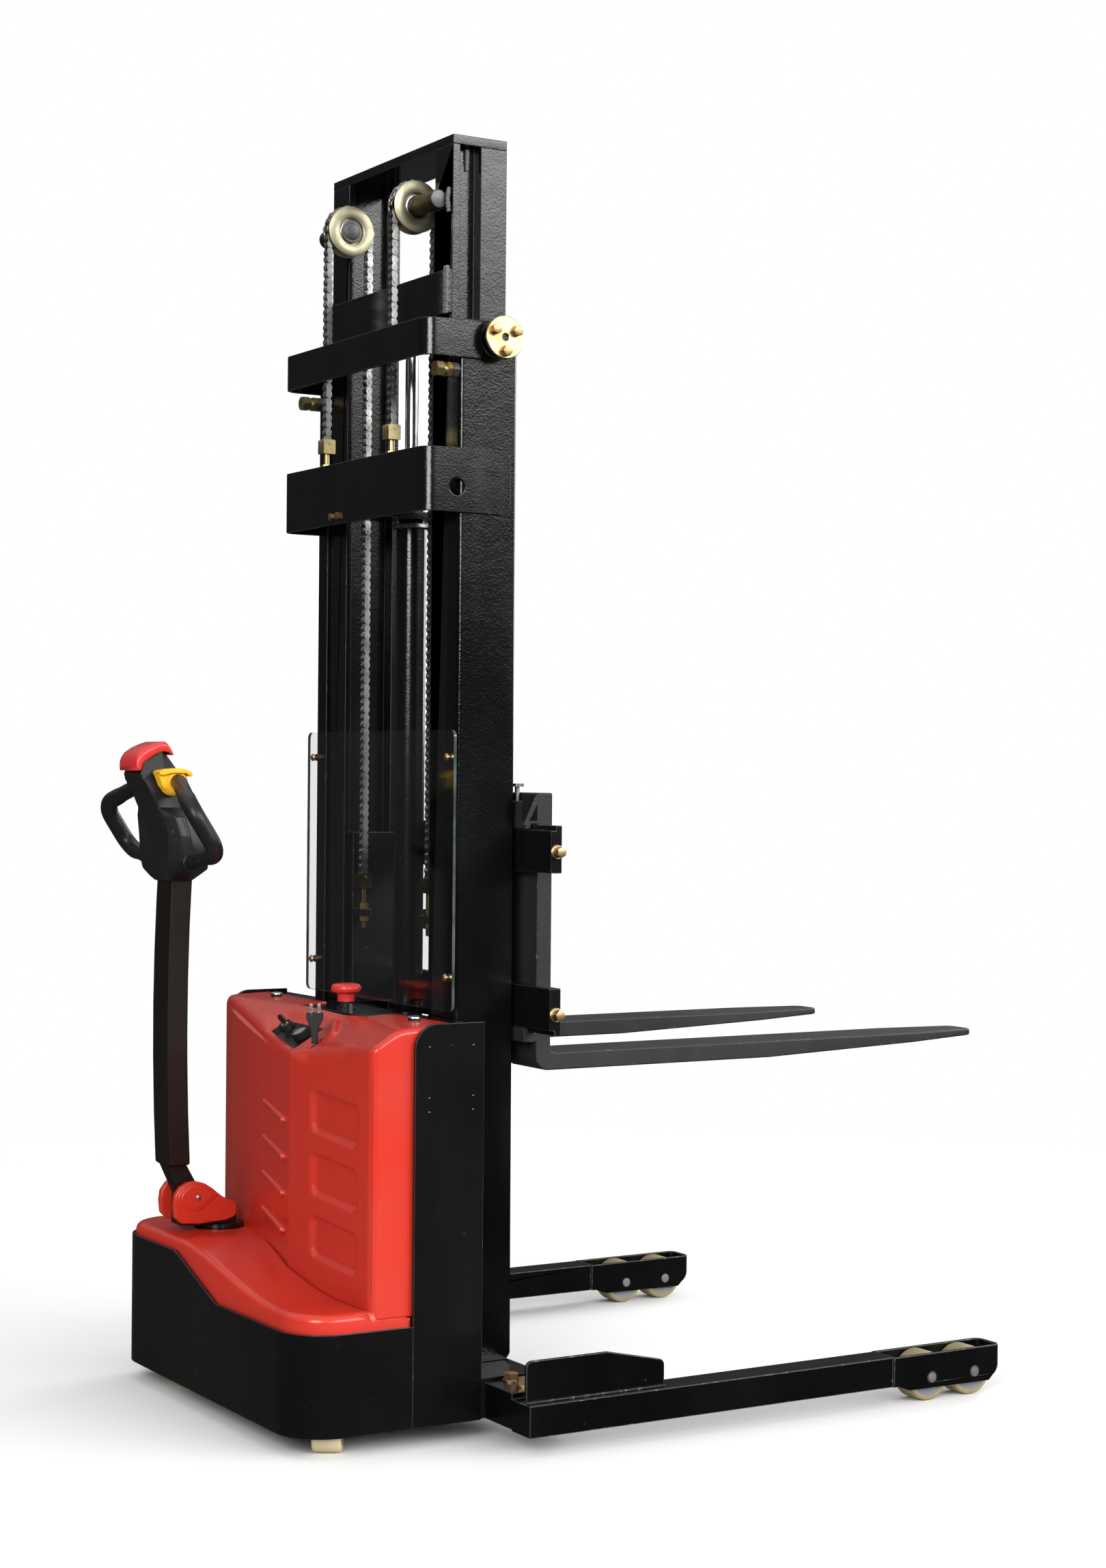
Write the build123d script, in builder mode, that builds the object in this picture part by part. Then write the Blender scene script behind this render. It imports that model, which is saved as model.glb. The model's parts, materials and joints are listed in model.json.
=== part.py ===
from build123d import *
import os
from math import cos, radians, sin

# Electric stacker with straddle legs and a two-stage mast, all sizes in millimetres.
# +X points forward along the forks, +Y to the machine's left, +Z up. The origin lies on the floor
# under the middle of the whole machine, which stands with its inner mast a quarter metre raised.

os.makedirs("parts", exist_ok=True)

# Fits
RUN_FIT = 0.05          # radial clearance of a turning or sliding shaft
ROLL_FIT = 0.3          # clearance of a roller to its track
SIDE_FIT = 1.0          # clearance beside a roller or a sliding rail
SCREW_FIT = 0.1         # radial clearance of a screw in its hole

# Outer mast
OUTER_HALF = 253.0      # outside face of the rails from the mid plane
OUTER_WIDTH = 39.5      # from that face to the tips of the flanges
OUTER_DEPTH = 105.4
OUTER_WEB = 8.0
OUTER_FLANGE = 12.0
OUTER_TOP = 1750.0
BASE_TOP = 95.0
BAND_SHEET = 6.0
BAND_BACK = 120.0       # rear face of the bands behind the mast's mid plane
BAND_BEND = 28.0
UPPER_BAND_DROP = 62.0  # lower edge of the upper band below the top of the rails
UPPER_BAND_TALL = 59.0
UPPER_BAND_END = 18.0   # the flanges stop this far behind the mid plane
LOWER_BAND_DROP = 306.5
LOWER_BAND_TALL = 101.5
LOWER_BAND_END = 37.5   # and this far in front of it
LOWER_BAND_CORNER = 18.0
BAND_HOLE = 14.0        # radius
BAND_HOLE_BACK = 60.8
BAND_HOLE_RISE = 39.5
BOSS_RADIUS = 28.0
BOSS_LENGTH = 24.0
BOSS_AHEAD = 12.0
BOSS_DROP = 28.0
CAP_RADIUS = 34.0
CAP_SHEET = 5.0
CAP_BOLT_CIRCLE = 22.0
CAP_BOLT_SIZE = 7.5
CAP_BOLT_HEAD = 9.0
CAP_HOLE = 6.0

# Inner mast
INNER_WIDTH = 60.0
INNER_DEPTH = 99.0
INNER_AHEAD = 2.5
INNER_FLANGE = 11.0
CHANNEL_DEPTH = 26.0    # inward channel, for the carriage rollers
GROOVE_WIDTH = 38.0     # outward groove, for the upper mast rollers
GROOVE_DEPTH = 22.0
GROOVE_STRIP = 13.0     # rear strip beside the groove
INNER_PROUD = 50.0      # above the outer rails with the mast lowered
RAISED = 250.0
FOOT_CLEAR = 10.0
TOP_PLATE = 15.0
CROSS_SHEET = 8.0
CROSS_DROP = 285.0      # lower edge of the cross plate below the top
CROSS_TALL = 70.0
SHELF_HALF = 60.0
SHELF_SHEET = 12.0
TIE_TALL = 70.0

# Mast and carriage rollers
TOP_AXLE = 7.0          # radius
FOOT_AXLE = 12.0
FOOT_ROLLER_RISE = 45.0
CARRIAGE_AXLE = 11.0

# Chains and chain wheels
WHEEL_GAP = 35.5        # middle of a chain wheel inside the inner rail
WHEEL_BACK = 65.5
WHEEL_DROP = 103.5
WHEEL_RADIUS = 42.0
WHEEL_WIDTH = 24.0
WHEEL_AXLE = 15.0       # radius
WHEEL_AXLE_SHORT = 12.5 # the axle stops this far inside the rail's outer face
AXLE_SEAT = 20.0        # height of the seat that joins the axle to the rail
CHAIN_RADIUS = 38.0
CHAIN_THICK = 11.8
CHAIN_WIDE = 16.0
ANCHOR_RISE = 52.0      # top of a mast anchor above its lug
ANCHOR_SIZE = 22.0
ANCHOR_TALL = 24.0
STUD_RADIUS = 5.0
STUD_LENGTH = 70.0
STUD_NUT = 8.5
NUT_TALL = 10.0
LUG_DROP = 5.0
LUG_SHEET = 12.0
LUG_HALF = 20.0
CARRIAGE_ANCHOR_RISE = 60.0   # top of a carriage anchor above its lug

# Lift cylinder
CYLINDER_BACK = 3.0
BARREL_RADIUS = 25.0
BARREL_BELOW = 5.5      # the barrel ends this far below the lower band
GLAND_RADIUS = 29.0
GLAND_TALL = 9.0
NECK_RADIUS = 22.0
NECK_TALL = 28.0
ROD_RADIUS = 12.0
ROD_LENGTH = 1395.0
ROD_NUT = 20.0
CLAMP_RISE = 5.0        # clamp above the gland
CLAMP_TALL = 12.0
CLAMP_HALF = 40.0

# Adjusters and band bolts
ADJUSTER_IN = 17.0      # inside the outer face of the rail
ADJUSTER_DROP = 81.0
ADJUSTER_RADIUS = 8.0
ADJUSTER_NUT = 13.0
ADJUSTER_REACH = 54.0
ADJUSTER_HEXES = ((0.0, 0.27), (0.3, 0.22), (0.65, 0.35))   # start and length of each hexagon
BAND_BOLT_Y = 62.0
BAND_BOLT_STEP = 24.0
BAND_BOLT_RISE = 13.0
BAND_BOLT_SIZE = 6.5
BAND_BOLT_HEAD = 5.0

# Shield
SHIELD_PROUD = 8.0      # over the outer faces of the rails
SHIELD_LOW = 655.0
SHIELD_TALL = 445.0
SHIELD_SHEET = 5.0
SHIELD_CORNER = 11.0
SPACER = 6.0
SPACER_RADIUS = 6.0
SHIELD_SCREW = 3.0
SHIELD_HEAD = 6.5
SHIELD_HEAD_TALL = 4.0
SCREW_IN = 14.0         # inside the outer face of the rail
SCREW_EDGE = 43.0       # from the shield's top edge
SCREW_PITCH = 349.0

# Carriage
BAR_GAP = 8.3           # fork bars in front of the outer rails
BAR_THICK = 20.0
BAR_HALF = 353.5
BAR_TALL = 75.0
BAR_RISE = 34.5         # lower edge of the bars above the load face
BAR_SPAN = 331.0        # over both bars
BAR_REBATE = 9.0
BAR_REBATE_TALL = 8.0
CHEEK_CLEAR = 5.5       # beside the inner rails
CHEEK_SHEET = 12.0
CHEEK_IN = 20.5         # cheeks inside the outer edges of the bars
CHEEK_BACK = 38.0
ROLLER_RISE = 50.0      # axle above the lower edge of the cheeks, and below the upper edge
LUG_RISE = 180.5
STOP_RADIUS = 5.0
STOP_WASHER = 15.0
STOP_WASHER_SHEET = 4.0
STOP_HEAD = 10.5
STOP_HEAD_TALL = 8.0
STOP_LENGTH = 25.0
STOP_HIGH_IN = 41.5     # upper stop bolts below the top of the bars
STOP_LOW_IN = 33.5

# Forks
FORK_Y = 228.0
FORK_WIDE = 100.0
FORK_LENGTH = 919.0
FORK_TOP = 585.0        # load face
FORK_THICK = 28.0
SHANK_RISE = 13.5       # shank above the upper hook
HEEL_INNER = 10.0
HEEL_OUTER = 24.0
TIP_THICK = 11.0
TIP_WIDE = 64.0
TIP_TAPER = 150.0
TIP_ROUND = 18.0
HOOK_RISE = 37.5        # upper hook above the bars
HOOK_FIT = 0.5
HOOK_LIP = 2.5          # the lips stand this far behind the bars
LOW_HOOK_DROP = 16.0
PIN_RADIUS = 4.0
PIN_HEAD = 11.0
PIN_HEAD_TALL = 5.0
PIN_RISE = 28.0         # pin head above the upper hook

# Chassis
SIDE_HALF = 355.0
SHEET = 6.0
SKIRT_BACK = 370.0
SKIRT_LOW = 32.0
SKIRT_BEND = 78.0
SKIRT_HIGH = 247.0
SKIRT_STEP = 188.0
SKIRT_SLOPE_LEFT = 114.0
SKIRT_SLOPE_RIGHT = -50.0
PLATE_BACK = 178.0
PLATE_FRONT = 57.0
PLATE_TOP = 648.0
PLATE_ROUND = 38.0
BEAM_HALF_DEPTH = 52.0
TRAY_SHEET = 8.0
BULKHEAD_BACK = 136.0
DECK_TOP = 285.0        # battery deck
DECK_BACK = 165.0
DECK_SHEET = 8.0
STEER_SHELF_LOW = 213.0
STEER_SHELF_SHEET = 10.0
STEER_SHELF_LEFT = 275.0
STEER_SHELF_RIGHT = 100.0
CASTER_SHELF_LOW = 100.0
CASTER_SHELF_BACK = 330.0
CASTER_SHELF_LEFT = -205.0
CASTER_SHELF_RIGHT = -335.0
PANEL_LOW = 636.0
PANEL_SHEET = 6.0
PANEL_BACK = 98.0
PANEL_TONGUE = 150.0
TONGUE_LEFT = 106.0
TONGUE_RIGHT = -136.0

# Covers
COVER_WALL = 6.0
COVER_HALF = 346.0
COVER_FRONT = 100.0
COVER_FRONT_TOP = 645.0
COVER_SLOPE = 0.03
CREASE_BACK = 250.0
CREASE_Y = -65.0
CREASE_TOP = 577.0
VALLEY_RUN = 100.0      # length over which the valley at the crease climbs
VALLEY_CLIMB = 62.0
COVER_LEFT_TOP = 644.0
COVER_RIGHT_BACK = 247.0
COVER_RIGHT_TOP = 613.0
COVER_ROUND = 16.0
COVER_NOTCH = 2.0       # clearance of the cover round the top panel's tongue
PRESS_DEEP = 3.5
PRESS_WIDE = 150.0
PRESS_TALL = 70.0
PRESS_PITCH = 98.0
PRESS_LOW = 262.0
PRESS_Y = -220.0
PRESS_ROUND = 10.0
HOOD_TOP = 265.0
HOOD_LOW = 168.0
HOOD_WALL = 4.0
HOOD_SLOPE_START = 120.0
HOOD_RIGHT_TOP = 210.0
HOOD_FIT = 0.5
SEAM = 0.5
WELL_CORNERS = ((38.0, 85.0), (65.0, 84.0), (71.0, -47.0), (57.0, -51.0), (19.0, -47.0))
WELL_DEEP = 8.0
WELL_RIM = 5.0
WELL_FLOOR = 6.0

# Switches, plug and cover screws
STOP_X_BACK = 125.0
STOP_Y = -15.0
COLLAR_RADIUS = 14.0
COLLAR_TALL = 12.0
BUTTON_RADIUS = 24.5
BUTTON_TALL = 16.0
BUTTON_LIFT = 8.0
BUTTON_STEM = 8.0
GAUGE_RADIUS = 15.0
GAUGE_TALL = 3.0
GAUGE_AHEAD = 47.0      # both switches are placed ahead of the crease
GAUGE_Y = -5.0
KEY_AHEAD = 50.0
KEY_Y = 57.0
KEY_RADIUS = 7.0
KEY_COLLAR = 10.0
KEY_TALL = 9.0
KEY_TURN = 5.0          # thickness of the key's grip
PLUG_BACK = 222.0
PLUG_Y = -97.0
PLUG_LONG = 26.0
PLUG_WIDE = 16.0
PLUG_LOW = 560.0
PLUG_TOP = 648.0
PRONG_TALL = 14.0
PRONG_THICK = 2.0
PRONG_WIDE = 6.0
PRONG_PITCH = 12.0
KNOB_BACK = 125.0
KNOB_Y = 250.0
KNOB_RADIUS = 11.0
KNOB_TALL = 9.0
KNOB_STEM = 4.0
KNOB_STEM_LONG = 16.0

# Batteries and pump unit
BATTERY_WIDE = 300.0
BATTERY_DEEP = 98.0
BATTERY_TALL = 230.0
BATTERY_GAP = 20.0
PUMP_RADIUS = 34.0
PUMP_LONG = 190.0
PUMP_FOOT = 20.0
PUMP_FOOT_SPAN = (0.2, 0.8)   # shares of the motor's length
TANK_WIDE = 240.0
TANK_DEEP = 66.0
TANK_TALL = 150.0

# Legs and load rollers
LEG_OUT = 492.5
LEG_WIDE = 54.0
LEG_LOW = 31.5
LEG_TALL = 49.0
LEG_BACK = 52.0
HEAD_START = 640.0
HEAD_END = 869.0
HEAD_PROUD = 4.0        # the head's side stands proud of the leg
HEAD_WIDE = 62.0
HEAD_WALL = 7.0
HEAD_CORNER = 16.0
HEAD_CHAMFER = 16.0
LOAD_AXLES = (719.4, 810.3)
LOAD_RADIUS = 40.0
LOAD_AXLE = 9.0
LOAD_PROUD = 0.5
ARM_FRONT = 60.0
ARM_LOW = 34.0
ARM_TOP = 90.0
GUARD_IN = 17.5         # inside the outer face of the leg
GUARD_SHEET = 6.0
GUARD_BACK = 50.0
GUARD_APEX = 95.0
GUARD_FRONT = 200.0
GUARD_TOP = 145.0
GUARD_FRONT_TOP = 122.0
GUARD_ROUND = 10.0
LEG_BOLT_BACK = 12.0
LEG_BOLT_SIDE = 12.0    # first bolt beside the side plate
LEG_BOLT_LEG = 30.5     # second bolt beside the leg
LEG_BOLT_SIZE = 10.5
LEG_BOLT_HEAD = 10.0
LEG_WASHER = 13.0
LEG_WASHER_SHEET = 3.0

# Steering and drive
TILLER_Y = 205.0
STEER_BACK = 250.0
DRIVE_RADIUS = 100.0
DRIVE_WIDE = 70.0
DRIVE_AXLE = 12.0
YOKE_GAP = 4.0
YOKE_SHEET = 11.0
YOKE_HALF_LONG = 44.0
YOKE_TOP_SHEET = 8.0
YOKE_LOW = 82.0
MOTOR_RADIUS = 46.0
MOTOR_LONG = 42.0
STEER_NECK = 39.0
STEER_COLLAR = 55.0
STEER_COLLAR_TALL = 10.0
STEER_TOP = 272.0
HOOD_NECK_GAP = 4.0

# Tiller
PIVOT_TRAIL = 55.0      # pivot behind the steering axis
PIVOT_Z = 316.0
PIVOT_RADIUS = 8.0
PIVOT_HEAD = 11.0
PIVOT_HEAD_TALL = 5.0
TONGUE_HALF = 14.5
CHEEK_GAP = 0.5
BRACKET_SHEET = 8.0
BRACKET_ROUND = 22.0
BRACKET_FRONT = 22.0    # in front of the steering axis
BRACKET_BASE = 10.0
EAR_SHEET = 14.0
EAR_ROUND = 29.0
EAR_LOW = 275.0
EAR_TAIL_TOP = 306.0
EAR_REAR = 38.6
EAR_FRONT = 77.3
EAR_SHOULDER = 27.0
ARM_TRAIL = 30.0        # arm behind the pivot
ARM_WIDE = 64.0
ARM_DEEP = 38.0
ARM_BOW = 6.5
ARM_FOOT = 375.0
ARM_HEAD = 862.0
ARM_SEAT = 12.0
HEAD_HALF = 40.0
HEAD_TRAIL = 98.0       # rear of the belly button behind the arm
HEAD_BEVEL = 7.0
HEAD_PROFILE = ((-24.0, 852.0), (28.0, 850.0), (53.0, 873.0), (42.0, 930.0), (8.0, 1034.0),
                (-4.0, 1054.0), (-82.0, 1029.0), (-57.0, 992.0), (-44.0, 961.0), (-37.0, 890.0))
WAIST_LOW = 874.0       # broad lower part of the head, where the loops return
WAIST_TALL = 91.0
WAIST_PLAN = ((-40.0, 61.0), (-23.0, 79.0), (-3.0, 79.0), (36.0, 40.0))
LOOP_RADIUS = 13.0
LOOP_BEND = 30.0
LOOP_POINTS = ((-25.0, 30.0, 1013.0), (-25.0, 90.0, 1013.0), (-52.0, 190.0, 974.0), (-4.0, 185.0, 898.0),
               (-5.0, 72.0, 881.0))
LOOP_HUB = 17.0
CAP_HALF = 38.0
CAP_GAP = 10.0
CAP_PROFILE = ((-95.0, 1033.0), (-98.0, 1044.0), (-94.0, 1054.0), (-45.0, 1079.0), (-30.0, 1080.0),
               (-12.0, 1070.0), (-3.5, 1059.7))
CAP_STEM = 9.0
CAP_STEM_LONG = 34.0
CAP_STEM_X = -62.0
CAP_LEAN = 24.0         # degrees the button's stroke leans from the vertical
THROTTLE_HUB = 19.0
THROTTLE_HUB_LONG = 14.0
THROTTLE_WING = 54.0
THROTTLE_LONG = 32.0
THROTTLE_THICK = 9.0

# Caster
CASTER_X_BACK = 277.0
CASTER_Y = -272.0
CASTER_TRAIL = 32.0
CASTER_HEADING = 58.7   # degrees, the wheel trails to the rear right
CASTER_RADIUS = 32.5
CASTER_WIDE = 46.0
CASTER_AXLE = 5.0
CASTER_SHEET = 5.0
CASTER_STEM = 9.0
CASTER_CROWN = 26.0
CASTER_CROWN_TALL = 8.0
CASTER_NUT = 14.0
CASTER_GAP = 2.0

# Places worked out from the sizes above
HEAD_REACH = STEER_BACK + PIVOT_TRAIL + ARM_TRAIL + HEAD_TRAIL
FORK_REACH = OUTER_DEPTH / 2 + BAR_GAP + BAR_THICK + FORK_LENGTH
MAST_X = (HEAD_REACH - FORK_REACH) / 2
OUTER_TIP = OUTER_HALF - OUTER_WIDTH
UPPER_BAND_LOW = OUTER_TOP - UPPER_BAND_DROP
LOWER_BAND_LOW = OUTER_TOP - LOWER_BAND_DROP
BOSS_Z = OUTER_TOP - BOSS_DROP
ADJUSTER_Y = OUTER_HALF - ADJUSTER_IN
ADJUSTER_Z = OUTER_TOP - ADJUSTER_DROP
LUG_TOP = LOWER_BAND_LOW + LOWER_BAND_TALL - LUG_DROP
ANCHOR_TOP = LUG_TOP + ANCHOR_RISE
BARREL_TOP = LOWER_BAND_LOW - BARREL_BELOW
CLAMP_LOW = BARREL_TOP + GLAND_TALL + CLAMP_RISE
INNER_HALF = OUTER_TIP - SIDE_FIT
INNER_TOP = OUTER_TOP + RAISED + INNER_PROUD
CROSS_LOW = INNER_TOP - CROSS_DROP
RAIL_REAR = MAST_X - OUTER_DEPTH / 2
RAIL_FRONT = MAST_X + OUTER_DEPTH / 2
INNER_X = MAST_X + INNER_AHEAD
INNER_REAR = INNER_X - INNER_DEPTH / 2
INNER_FRONT = INNER_X + INNER_DEPTH / 2
INNER_EDGE = INNER_HALF - INNER_WIDTH
CHEEK_HALF = INNER_EDGE - CHEEK_CLEAR
INNER_FOOT = BASE_TOP + RAISED + FOOT_CLEAR
GROOVE_X = INNER_REAR + GROOVE_STRIP + GROOVE_WIDTH / 2
BAND_HALF = OUTER_HALF + BAND_SHEET
WHEEL_X = MAST_X - WHEEL_BACK
WHEEL_Y = INNER_EDGE - WHEEL_GAP
WHEEL_Z = INNER_TOP - WHEEL_DROP
WHEEL_AXLE_END = INNER_HALF - WHEEL_AXLE_SHORT
BACK_STRAND_X = WHEEL_X - CHAIN_RADIUS
FRONT_STRAND_X = WHEEL_X + CHAIN_RADIUS
CYLINDER_X = MAST_X - CYLINDER_BACK
SHIELD_REAR = RAIL_REAR - SPACER - SHIELD_SHEET
SHIELD_HALF = OUTER_HALF + SHIELD_PROUD
SCREW_Y = OUTER_HALF - SCREW_IN
BAR_REAR = RAIL_FRONT + BAR_GAP
BAR_FRONT = BAR_REAR + BAR_THICK
BAR_LOW = FORK_TOP + BAR_RISE
BAR_TOP = BAR_LOW + BAR_SPAN
CHEEK_LOW = BAR_LOW + CHEEK_IN
CHEEK_TOP = BAR_TOP - CHEEK_IN
ROLLER_LOW_Z = CHEEK_LOW + ROLLER_RISE
ROLLER_HIGH_Z = CHEEK_TOP - ROLLER_RISE
LUG_Z = BAR_LOW + LUG_RISE
CARRIAGE_CHAIN_END = LUG_Z + CARRIAGE_ANCHOR_RISE
STOP_HIGH_Z = BAR_TOP - STOP_HIGH_IN
STOP_LOW_Z = BAR_LOW + STOP_LOW_IN
HOOK_TOP = BAR_TOP + HOOK_RISE
SHANK_TOP = HOOK_TOP + SHANK_RISE
PIN_TOP = HOOK_TOP + PIN_RISE
FORK_TIP = BAR_FRONT + FORK_LENGTH
SKIRT_REAR = MAST_X - SKIRT_BACK
PLATE_REAR = MAST_X - PLATE_BACK
SIDE_INNER = SIDE_HALF - SHEET
HEAD_OUT = LEG_OUT + HEAD_PROUD
GUARD_Y = LEG_OUT - GUARD_IN
STEER_X = MAST_X - STEER_BACK
PIVOT_X = STEER_X - PIVOT_TRAIL
ARM_X = PIVOT_X - ARM_TRAIL
YOKE_INNER = DRIVE_WIDE / 2 + YOKE_GAP
YOKE_OUTER = YOKE_INNER + YOKE_SHEET
EAR_INNER = TONGUE_HALF + CHEEK_GAP + BRACKET_SHEET
BULKHEAD_REAR = MAST_X - BULKHEAD_BACK
SIDES = {"left": 1, "right": -1}


def block(x, y, z, mode=Mode.ADD):
    """Box between the given (low, high) pairs."""
    with Locations(((x[0] + x[1]) / 2, (y[0] + y[1]) / 2, (z[0] + z[1]) / 2)):
        Box(abs(x[1] - x[0]), abs(y[1] - y[0]), abs(z[1] - z[0]), mode=mode)


def pole_x(x, y, z, radius, mode=Mode.ADD):
    """Cylinder along X between the two values of x."""
    with Locations(Location(((x[0] + x[1]) / 2, y, z), (0, 90, 0))):
        Cylinder(radius, abs(x[1] - x[0]), mode=mode)


def pole_y(x, y, z, radius, mode=Mode.ADD):
    """Cylinder along Y between the two values of y."""
    with Locations(Location((x, (y[0] + y[1]) / 2, z), (90, 0, 0))):
        Cylinder(radius, abs(y[1] - y[0]), mode=mode)


def pole_z(x, y, z, radius, mode=Mode.ADD):
    """Cylinder along Z between the two values of z."""
    with Locations((x, y, (z[0] + z[1]) / 2)):
        Cylinder(radius, abs(z[1] - z[0]), mode=mode)


def hexagon(plane, size, height):
    """Hexagonal solid of the given half width over flats, standing on a plane."""
    with BuildPart() as nut:
        with BuildSketch(plane):
            RegularPolygon(size, 6, major_radius=False)
        extrude(amount=height)
    return nut.part


def along_x(x, y, z, sign):
    """Plane at a point that faces forward or rearward."""
    return Plane(origin=(x, y, z), x_dir=(0, 1, 0), z_dir=(sign, 0, 0))


def along_y(x, y, z, sign):
    """Plane at a point that faces left or right."""
    return Plane(origin=(x, y, z), x_dir=(1, 0, 0), z_dir=(0, sign, 0))


def along_z(x, y, z, sign=1):
    """Plane at a point that faces up or down."""
    return Plane(origin=(x, y, z), x_dir=(1, 0, 0), z_dir=(0, 0, sign))


def save(part, name):
    """Label a finished piece and write it."""
    part.label = name
    export_step(part, f"parts/{name}.step")


# Outer rails, each with the axle of its upper roller and the boss of its cap
for name, side in SIDES.items():
    with BuildPart() as outer_rail:
        with BuildSketch(Plane.XY.offset(BASE_TOP)):
            with Locations((MAST_X, side * (OUTER_HALF + OUTER_TIP) / 2)):
                Rectangle(OUTER_DEPTH, OUTER_HALF - OUTER_TIP)
            with Locations((MAST_X, side * (OUTER_HALF + OUTER_TIP - 2 * OUTER_WEB) / 2)):
                Rectangle(OUTER_DEPTH - 2 * OUTER_FLANGE, OUTER_HALF - OUTER_TIP, mode=Mode.SUBTRACT)
        extrude(amount=OUTER_TOP - BASE_TOP)
        axle_end = side * (INNER_HALF - GROOVE_DEPTH + SIDE_FIT)
        pole_y(GROOVE_X, (axle_end, side * (OUTER_HALF - OUTER_WEB / 2)), BOSS_Z, TOP_AXLE)
        boss_end = side * (OUTER_HALF + BOSS_LENGTH)
        pole_y(MAST_X + BOSS_AHEAD, (side * (OUTER_HALF - OUTER_WEB), boss_end), BOSS_Z, BOSS_RADIUS)
    save(outer_rail.part, f"outer_rail_{name}")

# Roller caps, a pierced disc with three bolts on each boss
caps = []
for side in SIDES.values():
    cap_face = side * (OUTER_HALF + BOSS_LENGTH)
    cap_plane = along_y(MAST_X + BOSS_AHEAD, cap_face, BOSS_Z, side)
    with BuildPart() as cap:
        with BuildSketch(cap_plane):
            Circle(CAP_RADIUS)
            Circle(CAP_HOLE, mode=Mode.SUBTRACT)
        extrude(amount=CAP_SHEET)
        with BuildSketch(cap_plane.offset(CAP_SHEET)):
            with PolarLocations(CAP_BOLT_CIRCLE, 3, start_angle=90 * side):
                RegularPolygon(CAP_BOLT_SIZE, 6, major_radius=False)
        extrude(amount=CAP_BOLT_HEAD)
    caps.append(cap.part)
with BuildPart() as roller_caps:
    add(caps)
save(roller_caps.part, "roller_caps")


def band(low, tall, end):
    """Bent plate that ties the outer rails together behind the mast."""
    with BuildPart() as plate:
        with BuildSketch(Plane.XY.offset(low)):
            with Locations((MAST_X + (end - BAND_BACK) / 2, 0)):
                Rectangle(BAND_BACK + end, 2 * BAND_HALF)
            fillet(vertices().group_by(Axis.X)[0], BAND_BEND)
            with BuildSketch(Plane.XY.offset(low), mode=Mode.SUBTRACT):
                with Locations((MAST_X + (end - BAND_BACK) / 2 + BAND_SHEET, 0)):
                    Rectangle(BAND_BACK + end, 2 * OUTER_HALF)
                fillet(vertices().group_by(Axis.X)[0], BAND_BEND - BAND_SHEET)
        extrude(amount=tall)
    return plate.part


save(band(UPPER_BAND_LOW, UPPER_BAND_TALL, -UPPER_BAND_END), "upper_band")

# Lower band with its round holes, the chain lugs and the clamp of the cylinder
band_inner = MAST_X - BAND_BACK + BAND_SHEET
with BuildPart() as lower_band:
    add(band(LOWER_BAND_LOW, LOWER_BAND_TALL, LOWER_BAND_END))
    corners = lower_band.edges().filter_by(Axis.Y).group_by(Axis.X)[-1]
    fillet(corners, LOWER_BAND_CORNER)
    hole_z = LOWER_BAND_LOW + BAND_HOLE_RISE
    pole_y(MAST_X - BAND_HOLE_BACK, (-2 * BAND_HALF, 2 * BAND_HALF), hole_z, BAND_HOLE, Mode.SUBTRACT)
    for side in SIDES.values():
        lug_y = (side * WHEEL_Y - LUG_HALF, side * WHEEL_Y + LUG_HALF)
        lug_z = (LUG_TOP - LUG_SHEET, LUG_TOP)
        block((band_inner, BACK_STRAND_X + LUG_HALF), lug_y, lug_z)
        pole_z(BACK_STRAND_X, side * WHEEL_Y, lug_z, STUD_RADIUS + SCREW_FIT, Mode.SUBTRACT)
    clamp_z = (CLAMP_LOW, CLAMP_LOW + CLAMP_TALL)
    block((band_inner, CYLINDER_X + CLAMP_HALF), (-CLAMP_HALF, CLAMP_HALF), clamp_z)
    pole_z(CYLINDER_X, 0, clamp_z, NECK_RADIUS + SCREW_FIT, Mode.SUBTRACT)
save(lower_band.part, "lower_band")


def chain_anchor(x, y, top, nut_faces):
    """Clevis block with its stud and nuts, hanging below the end of a chain."""
    with BuildPart() as clevis:
        block((x - ANCHOR_SIZE / 2, x + ANCHOR_SIZE / 2), (y - ANCHOR_SIZE / 2, y + ANCHOR_SIZE / 2),
              (top - ANCHOR_TALL, top))
        pole_z(x, y, (top - ANCHOR_TALL - STUD_LENGTH, top - ANCHOR_TALL), STUD_RADIUS)
        for face, sign in nut_faces:
            add(hexagon(along_z(x, y, face, sign), STUD_NUT, NUT_TALL))
    return clevis.part


anchors = []
for side in SIDES.values():
    faces = ((LUG_TOP, 1), (LUG_TOP - LUG_SHEET, -1))
    anchors.append(chain_anchor(BACK_STRAND_X, side * WHEEL_Y, ANCHOR_TOP, faces))
with BuildPart() as mast_chain_anchors:
    add(anchors)
save(mast_chain_anchors.part, "mast_chain_anchors")

# Adjusters on the rear of the outer rails, and small bolts low on the lower band
screws = []
for side in SIDES.values():
    y = side * ADJUSTER_Y
    with BuildPart() as adjuster:
        pole_x((RAIL_REAR - ADJUSTER_REACH, RAIL_REAR), y, ADJUSTER_Z, ADJUSTER_RADIUS)
        for start, length in ADJUSTER_HEXES:
            hex_plane = along_x(RAIL_REAR - ADJUSTER_REACH * start, y, ADJUSTER_Z, -1)
            add(hexagon(hex_plane, ADJUSTER_NUT, ADJUSTER_REACH * length))
    screws.append(adjuster.part)
for y in (BAND_BOLT_Y, BAND_BOLT_Y - BAND_BOLT_STEP):
    bolt_plane = along_x(MAST_X - BAND_BACK, y, LOWER_BAND_LOW + BAND_BOLT_RISE, -1)
    screws.append(hexagon(bolt_plane, BAND_BOLT_SIZE, BAND_BOLT_HEAD))
with BuildPart() as mast_fasteners:
    add(screws)
save(mast_fasteners.part, "mast_fasteners")

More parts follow.
